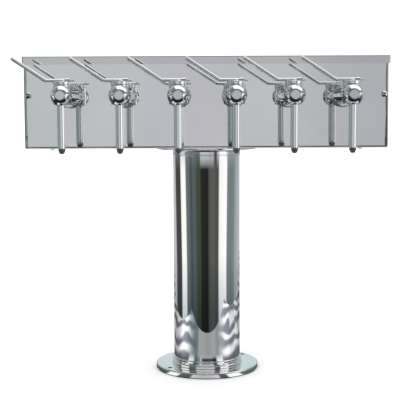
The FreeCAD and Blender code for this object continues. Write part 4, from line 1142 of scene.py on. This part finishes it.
class TOWER_OT_studio(Operator):
    """Sets up the pale table, the camera, the soft light and what the polished surfaces reflect"""

    bl_idname = "tower.studio"
    bl_label = "Studio"

    def plate(self, name, x0, x1, y0, y1, z, material):
        """A flat plate: corners (x, y, z) on a two by two grid."""
        mesh = bpy.data.meshes.new(name)
        mesh.from_pydata([(x0, y0, z), (x1, y0, z), (x1, y1, z), (x0, y1, z)], [], [(0, 1, 2, 3)])
        mesh.materials.append(material)
        plate = linked(name, mesh)
        return plate

    def table_painted_reflections(self):
        """Plain pale table where it is seen. In reflections it glows with painted light and shade:
        tones by bearing round the column, painted waves, a painted dark strip and steep dark parts."""
        material = bpy.data.materials.new("pale_table_painted_reflections")
        tree = fresh(material)
        place = node(tree, "TexCoord").outputs["Object"]
        tone = ramp(tree, noise(tree, place, 3.0, 3.0), [(0.3, 0.925), (0.7, 0.945)])
        inputs = {"Base Color": tone, "Roughness": 0.7, "Specular IOR Level": 0.1}
        pale = node(tree, "BsdfPrincipled", inputs=inputs)
        split = node(tree, "SeparateXYZ", inputs={0: place}).outputs
        bearing = bearing_of(tree, split)
        # Painted reflection: lamps and dark gaps by bearing, near the column and further out.
        close, wide = by_bearing(tree, bearing, PAINTED_TABLE_CLOSE), by_bearing(tree, bearing, PAINTED_TABLE_WIDE)
        # Painted reflection: wavy light and dark rings on the table, only at the sides of the
        # column.
        inputs = {"Vector": place, "Scale": 2.5, "Distortion": 6.0, "Detail": 1.0,
                  "Detail Scale": 1.8}
        rings = node(tree, "TexWave", {"wave_type": "RINGS", "rings_direction": "Z"}, inputs)
        waves = ramp(tree, rings.outputs["Fac"], PAINTED_TABLE_WAVES)
        aside = by_bearing(tree, bearing, [(-60, 1.0), (-30, 0.0), (32, 0.0), (60, 1.0)])
        wide = mixed(tree, aside, wide, waves, "MULTIPLY")
        away = node(tree, "VectorMath", {"operation": "LENGTH"}, {0: place}).outputs["Value"]
        spread = ramp(tree, away, onset(0.12, 0.17))
        # Painted shade: the table goes dark in reflections where the ray meets it steeply in front.
        facing = node(tree, "LayerWeight", inputs={"Blend": 0.5}).outputs["Facing"]
        forward = calc(tree, "MULTIPLY", split[1], -1.0)
        painted_steep_shade = calc(tree, "MULTIPLY", ramp(tree, facing, [(0.25, 1.0), (0.45, 0.0)]),
                     ramp(tree, forward, onset(0.17, 0.185)))
        # Painted shade: a dark strip on the table in front of the column's foot, seen only in
        # reflections.
        painted_dark_strip = calc(tree, "MULTIPLY", ramp(tree, away, window(0.113, 0.123, 0.142, 0.154, 0.92)),
                     by_bearing(tree, bearing, window(-19, -13, 23, 30)))
        # The painted shade mask: steep parts and the dark strip.
        dark = calc(tree, "MAXIMUM", painted_steep_shade, painted_dark_strip)
        cool = mixed(tree, 1.0, mixed(tree, spread, close, wide), COOL, "MULTIPLY")
        # The table glows in reflections with the painted tones, and with the painted shade tone
        # where it is painted dark.
        painted_glow = node(tree, "Emission", inputs={"Color": mixed(tree, dark, cool, PAINTED_SHADE_TONE)})
        node(tree, "OutputMaterial", inputs={"Surface": mirrored_apart(tree, pale, painted_glow)})
        return material

    def room(self, tree):
        """The studio by direction: lamps and dark gaps round the horizon that spread with height, a
        pale card in front, walls and a dome over them, and a soft square lamp overhead."""
        direction = node(tree, "TexCoord").outputs["Generated"]
        split = node(tree, "SeparateXYZ", inputs={0: direction}).outputs
        tilt = calc(tree, "ARCSINE", split[2])
        height = calc(tree, "MULTIPLY_ADD", tilt, 1.0 / math.pi, 0.5)
        slope, level_share, least = -0.69, 0.89, 0.66
        spread = calc(tree, "MULTIPLY_ADD", tilt, slope, level_share)
        spread = calc(tree, "MINIMUM", calc(tree, "MAXIMUM", spread, least), 1.0)
        bearing, straight = bearing_of(tree, split, spread), bearing_of(tree, split)
        low = by_bearing(tree, bearing, ROOM_LOW)
        low = mixed(tree, 1.0, low, by_height(tree, height, LOW_FALL), "MULTIPLY")
        level = by_bearing(tree, bearing, ROOM_LEVEL)
        sides = mixed(tree, by_height(tree, height, onset(-2.9, -2.6)), low, level)
        shown = calc(tree, "MULTIPLY", by_bearing(tree, straight, window(-24, -20, 23, 28)),
                     by_height(tree, height, window(-3.4, -3.25, 3.4, 5.0)))
        sides = mixed(tree, shown, sides, by_bearing(tree, straight, CARD_TONE))
        for stops, tones in ((onset(3, 6), ROOM_WALL), (onset(10, 13), ROOM_DOME),
                             (window(12.5, 13.5, 16.5, 18.5), ROOM_APRON)):
            share = by_height(tree, height, stops)
            sides = mixed(tree, share, sides, by_bearing(tree, straight, tones))
        above, masks, span = calc(tree, "MAXIMUM", split[2], 0.02), [], 4.0
        for part, stops in ((split[0], window(-0.45, -0.32, 1.8, 1.98)),
                            (split[1], window(-0.44, -0.36, 0.55, 0.75))):
            place = calc(tree, "MULTIPLY_ADD", calc(tree, "DIVIDE", part, above), 1.0 / span, 0.5)
            masks.append(ramp(tree, place, [(0.5 + stop / span, tone) for stop, tone in stops]))
        whole = mixed(tree, calc(tree, "MULTIPLY", *masks), sides, LAMP)
        return mixed(tree, by_height(tree, height, [(-34, 1.0), (-22, 0.0)]), whole, GROUND)

    def surround(self, strength, even):
        """Even white light on everything matt, and the studio's picture in everything polished."""
        world = bpy.data.worlds.new("studio")
        bpy.context.scene.world = world
        tree = fresh(world)
        inputs = {"Color": self.room(tree), "Strength": strength}
        reflected = node(tree, "Background", inputs=inputs)
        plain = node(tree, "Background", inputs={"Color": (1.0, 1.0, 1.0, 1.0), "Strength": even})
        node(tree, "OutputWorld", inputs={"Surface": mirrored_apart(tree, plain, reflected)})

    def camera(self, s):
        """A camera that looks along (sin y cos p, cos y cos p, -sin p) with (cos y, -sin y, 0) on
        its right before it is rolled."""
        p, y, r = s.camera_pitch, s.camera_yaw, s.camera_roll
        forward = Vector((math.sin(y) * math.cos(p), math.cos(y) * math.cos(p), -math.sin(p)))
        right = Vector((math.cos(y), -math.sin(y), 0.0))
        above = right.cross(forward)
        x_axis = right * math.cos(r) + above * math.sin(r)
        y_axis = above * math.cos(r) - right * math.sin(r)
        data = bpy.data.cameras.new("camera")
        data.sensor_width, data.lens, data.clip_start = 36.0, s.camera_lens, 0.01
        camera = linked("camera", data)
        axes = Matrix((x_axis, y_axis, -forward)).transposed().to_4x4()
        camera.matrix_world = Matrix.Translation(s.camera_place) @ axes
        bpy.context.scene.camera = camera

    def lamp(self, name, place, target, size, power):
        """A soft square lamp that shines on matt surfaces only, turned towards a target."""
        data = bpy.data.lights.new(name, "AREA")
        data.size, data.energy = size, power
        lamp = linked(name, data)
        aim = (Vector(target) - Vector(place)).to_track_quat("-Z", "Y")
        lamp.matrix_world = Matrix.Translation(place) @ aim.to_matrix().to_4x4()
        lamp.visible_glossy = False

    def execute(self, context):
        s = context.scene.tower_studio
        pale = self.table_painted_reflections()
        self.plate("table", x0=-0.42, x1=0.55, y0=-s.table_front, y1=1.2, z=0.0, material=pale)
        far = self.plate("table_surround", x0=-6.0, x1=6.0, y0=-5.0, y1=7.0, z=-0.0004,
                         material=pale)
        far.visible_glossy = False
        self.surround(s.surround, s.daylight)
        self.camera(s)
        self.lamp("soft_lamp", place=(-0.9, -1.1, 2.2), target=(0.0, 0.0, 0.3), size=1.6, power=6.0)
        context.scene.view_settings.view_transform = "Standard"
        return {"FINISHED"}


class TOWER_PT_builder(Panel):
    """Lists the tower's builders, sizes and colours"""

    bl_idname = "TOWER_PT_builder"
    bl_label = "Wine tower"
    bl_space_type = "VIEW_3D"
    bl_region_type = "UI"
    bl_category = "Tower"

    def draw(self, context):
        for operator in BUILD_ORDER:
            self.layout.operator(operator.bl_idname)
        for group, owner in GROUPS.items():
            box = self.layout.box()
            box.label(text=group.__doc__)
            for name in group.__annotations__:
                label = name.replace("_", " ").capitalize()
                box.prop(getattr(context.scene, owner), name, text=label)


GROUPS = {
    TOWER_PG_stand: "tower_stand",
    TOWER_PG_tap: "tower_tap",
    TOWER_PG_finish: "tower_finish",
    TOWER_PG_studio: "tower_studio",
}
BUILD_ORDER = (
    TOWER_OT_studio, TOWER_OT_base_flange, TOWER_OT_foot_ring, TOWER_OT_column, TOWER_OT_neck,
    TOWER_OT_box, TOWER_OT_box_screws, TOWER_OT_shanks, TOWER_OT_couplings, TOWER_OT_tap_bodies,
    TOWER_OT_front_plugs, TOWER_OT_spouts, TOWER_OT_hubs, TOWER_OT_levers, TOWER_OT_inner_pieces,
)


def register():
    """Registers the sizes, the builders and the panel."""
    for group, name in GROUPS.items():
        bpy.utils.register_class(group)
        setattr(bpy.types.Scene, name, PointerProperty(type=group))
    for cls in (*BUILD_ORDER, TOWER_PT_builder):
        bpy.utils.register_class(cls)


def unregister():
    """Takes away what register added."""
    for cls in (TOWER_PT_builder, *reversed(BUILD_ORDER)):
        bpy.utils.unregister_class(cls)
    for group, name in reversed(list(GROUPS.items())):
        delattr(bpy.types.Scene, name)
        bpy.utils.unregister_class(group)


def main():
    """Registers everything and builds every piece in order."""
    register()
    for builder in BUILD_ORDER:
        getattr(bpy.ops.tower, builder.bl_idname.partition(".")[2])()


if __name__ == "__main__":
    main()
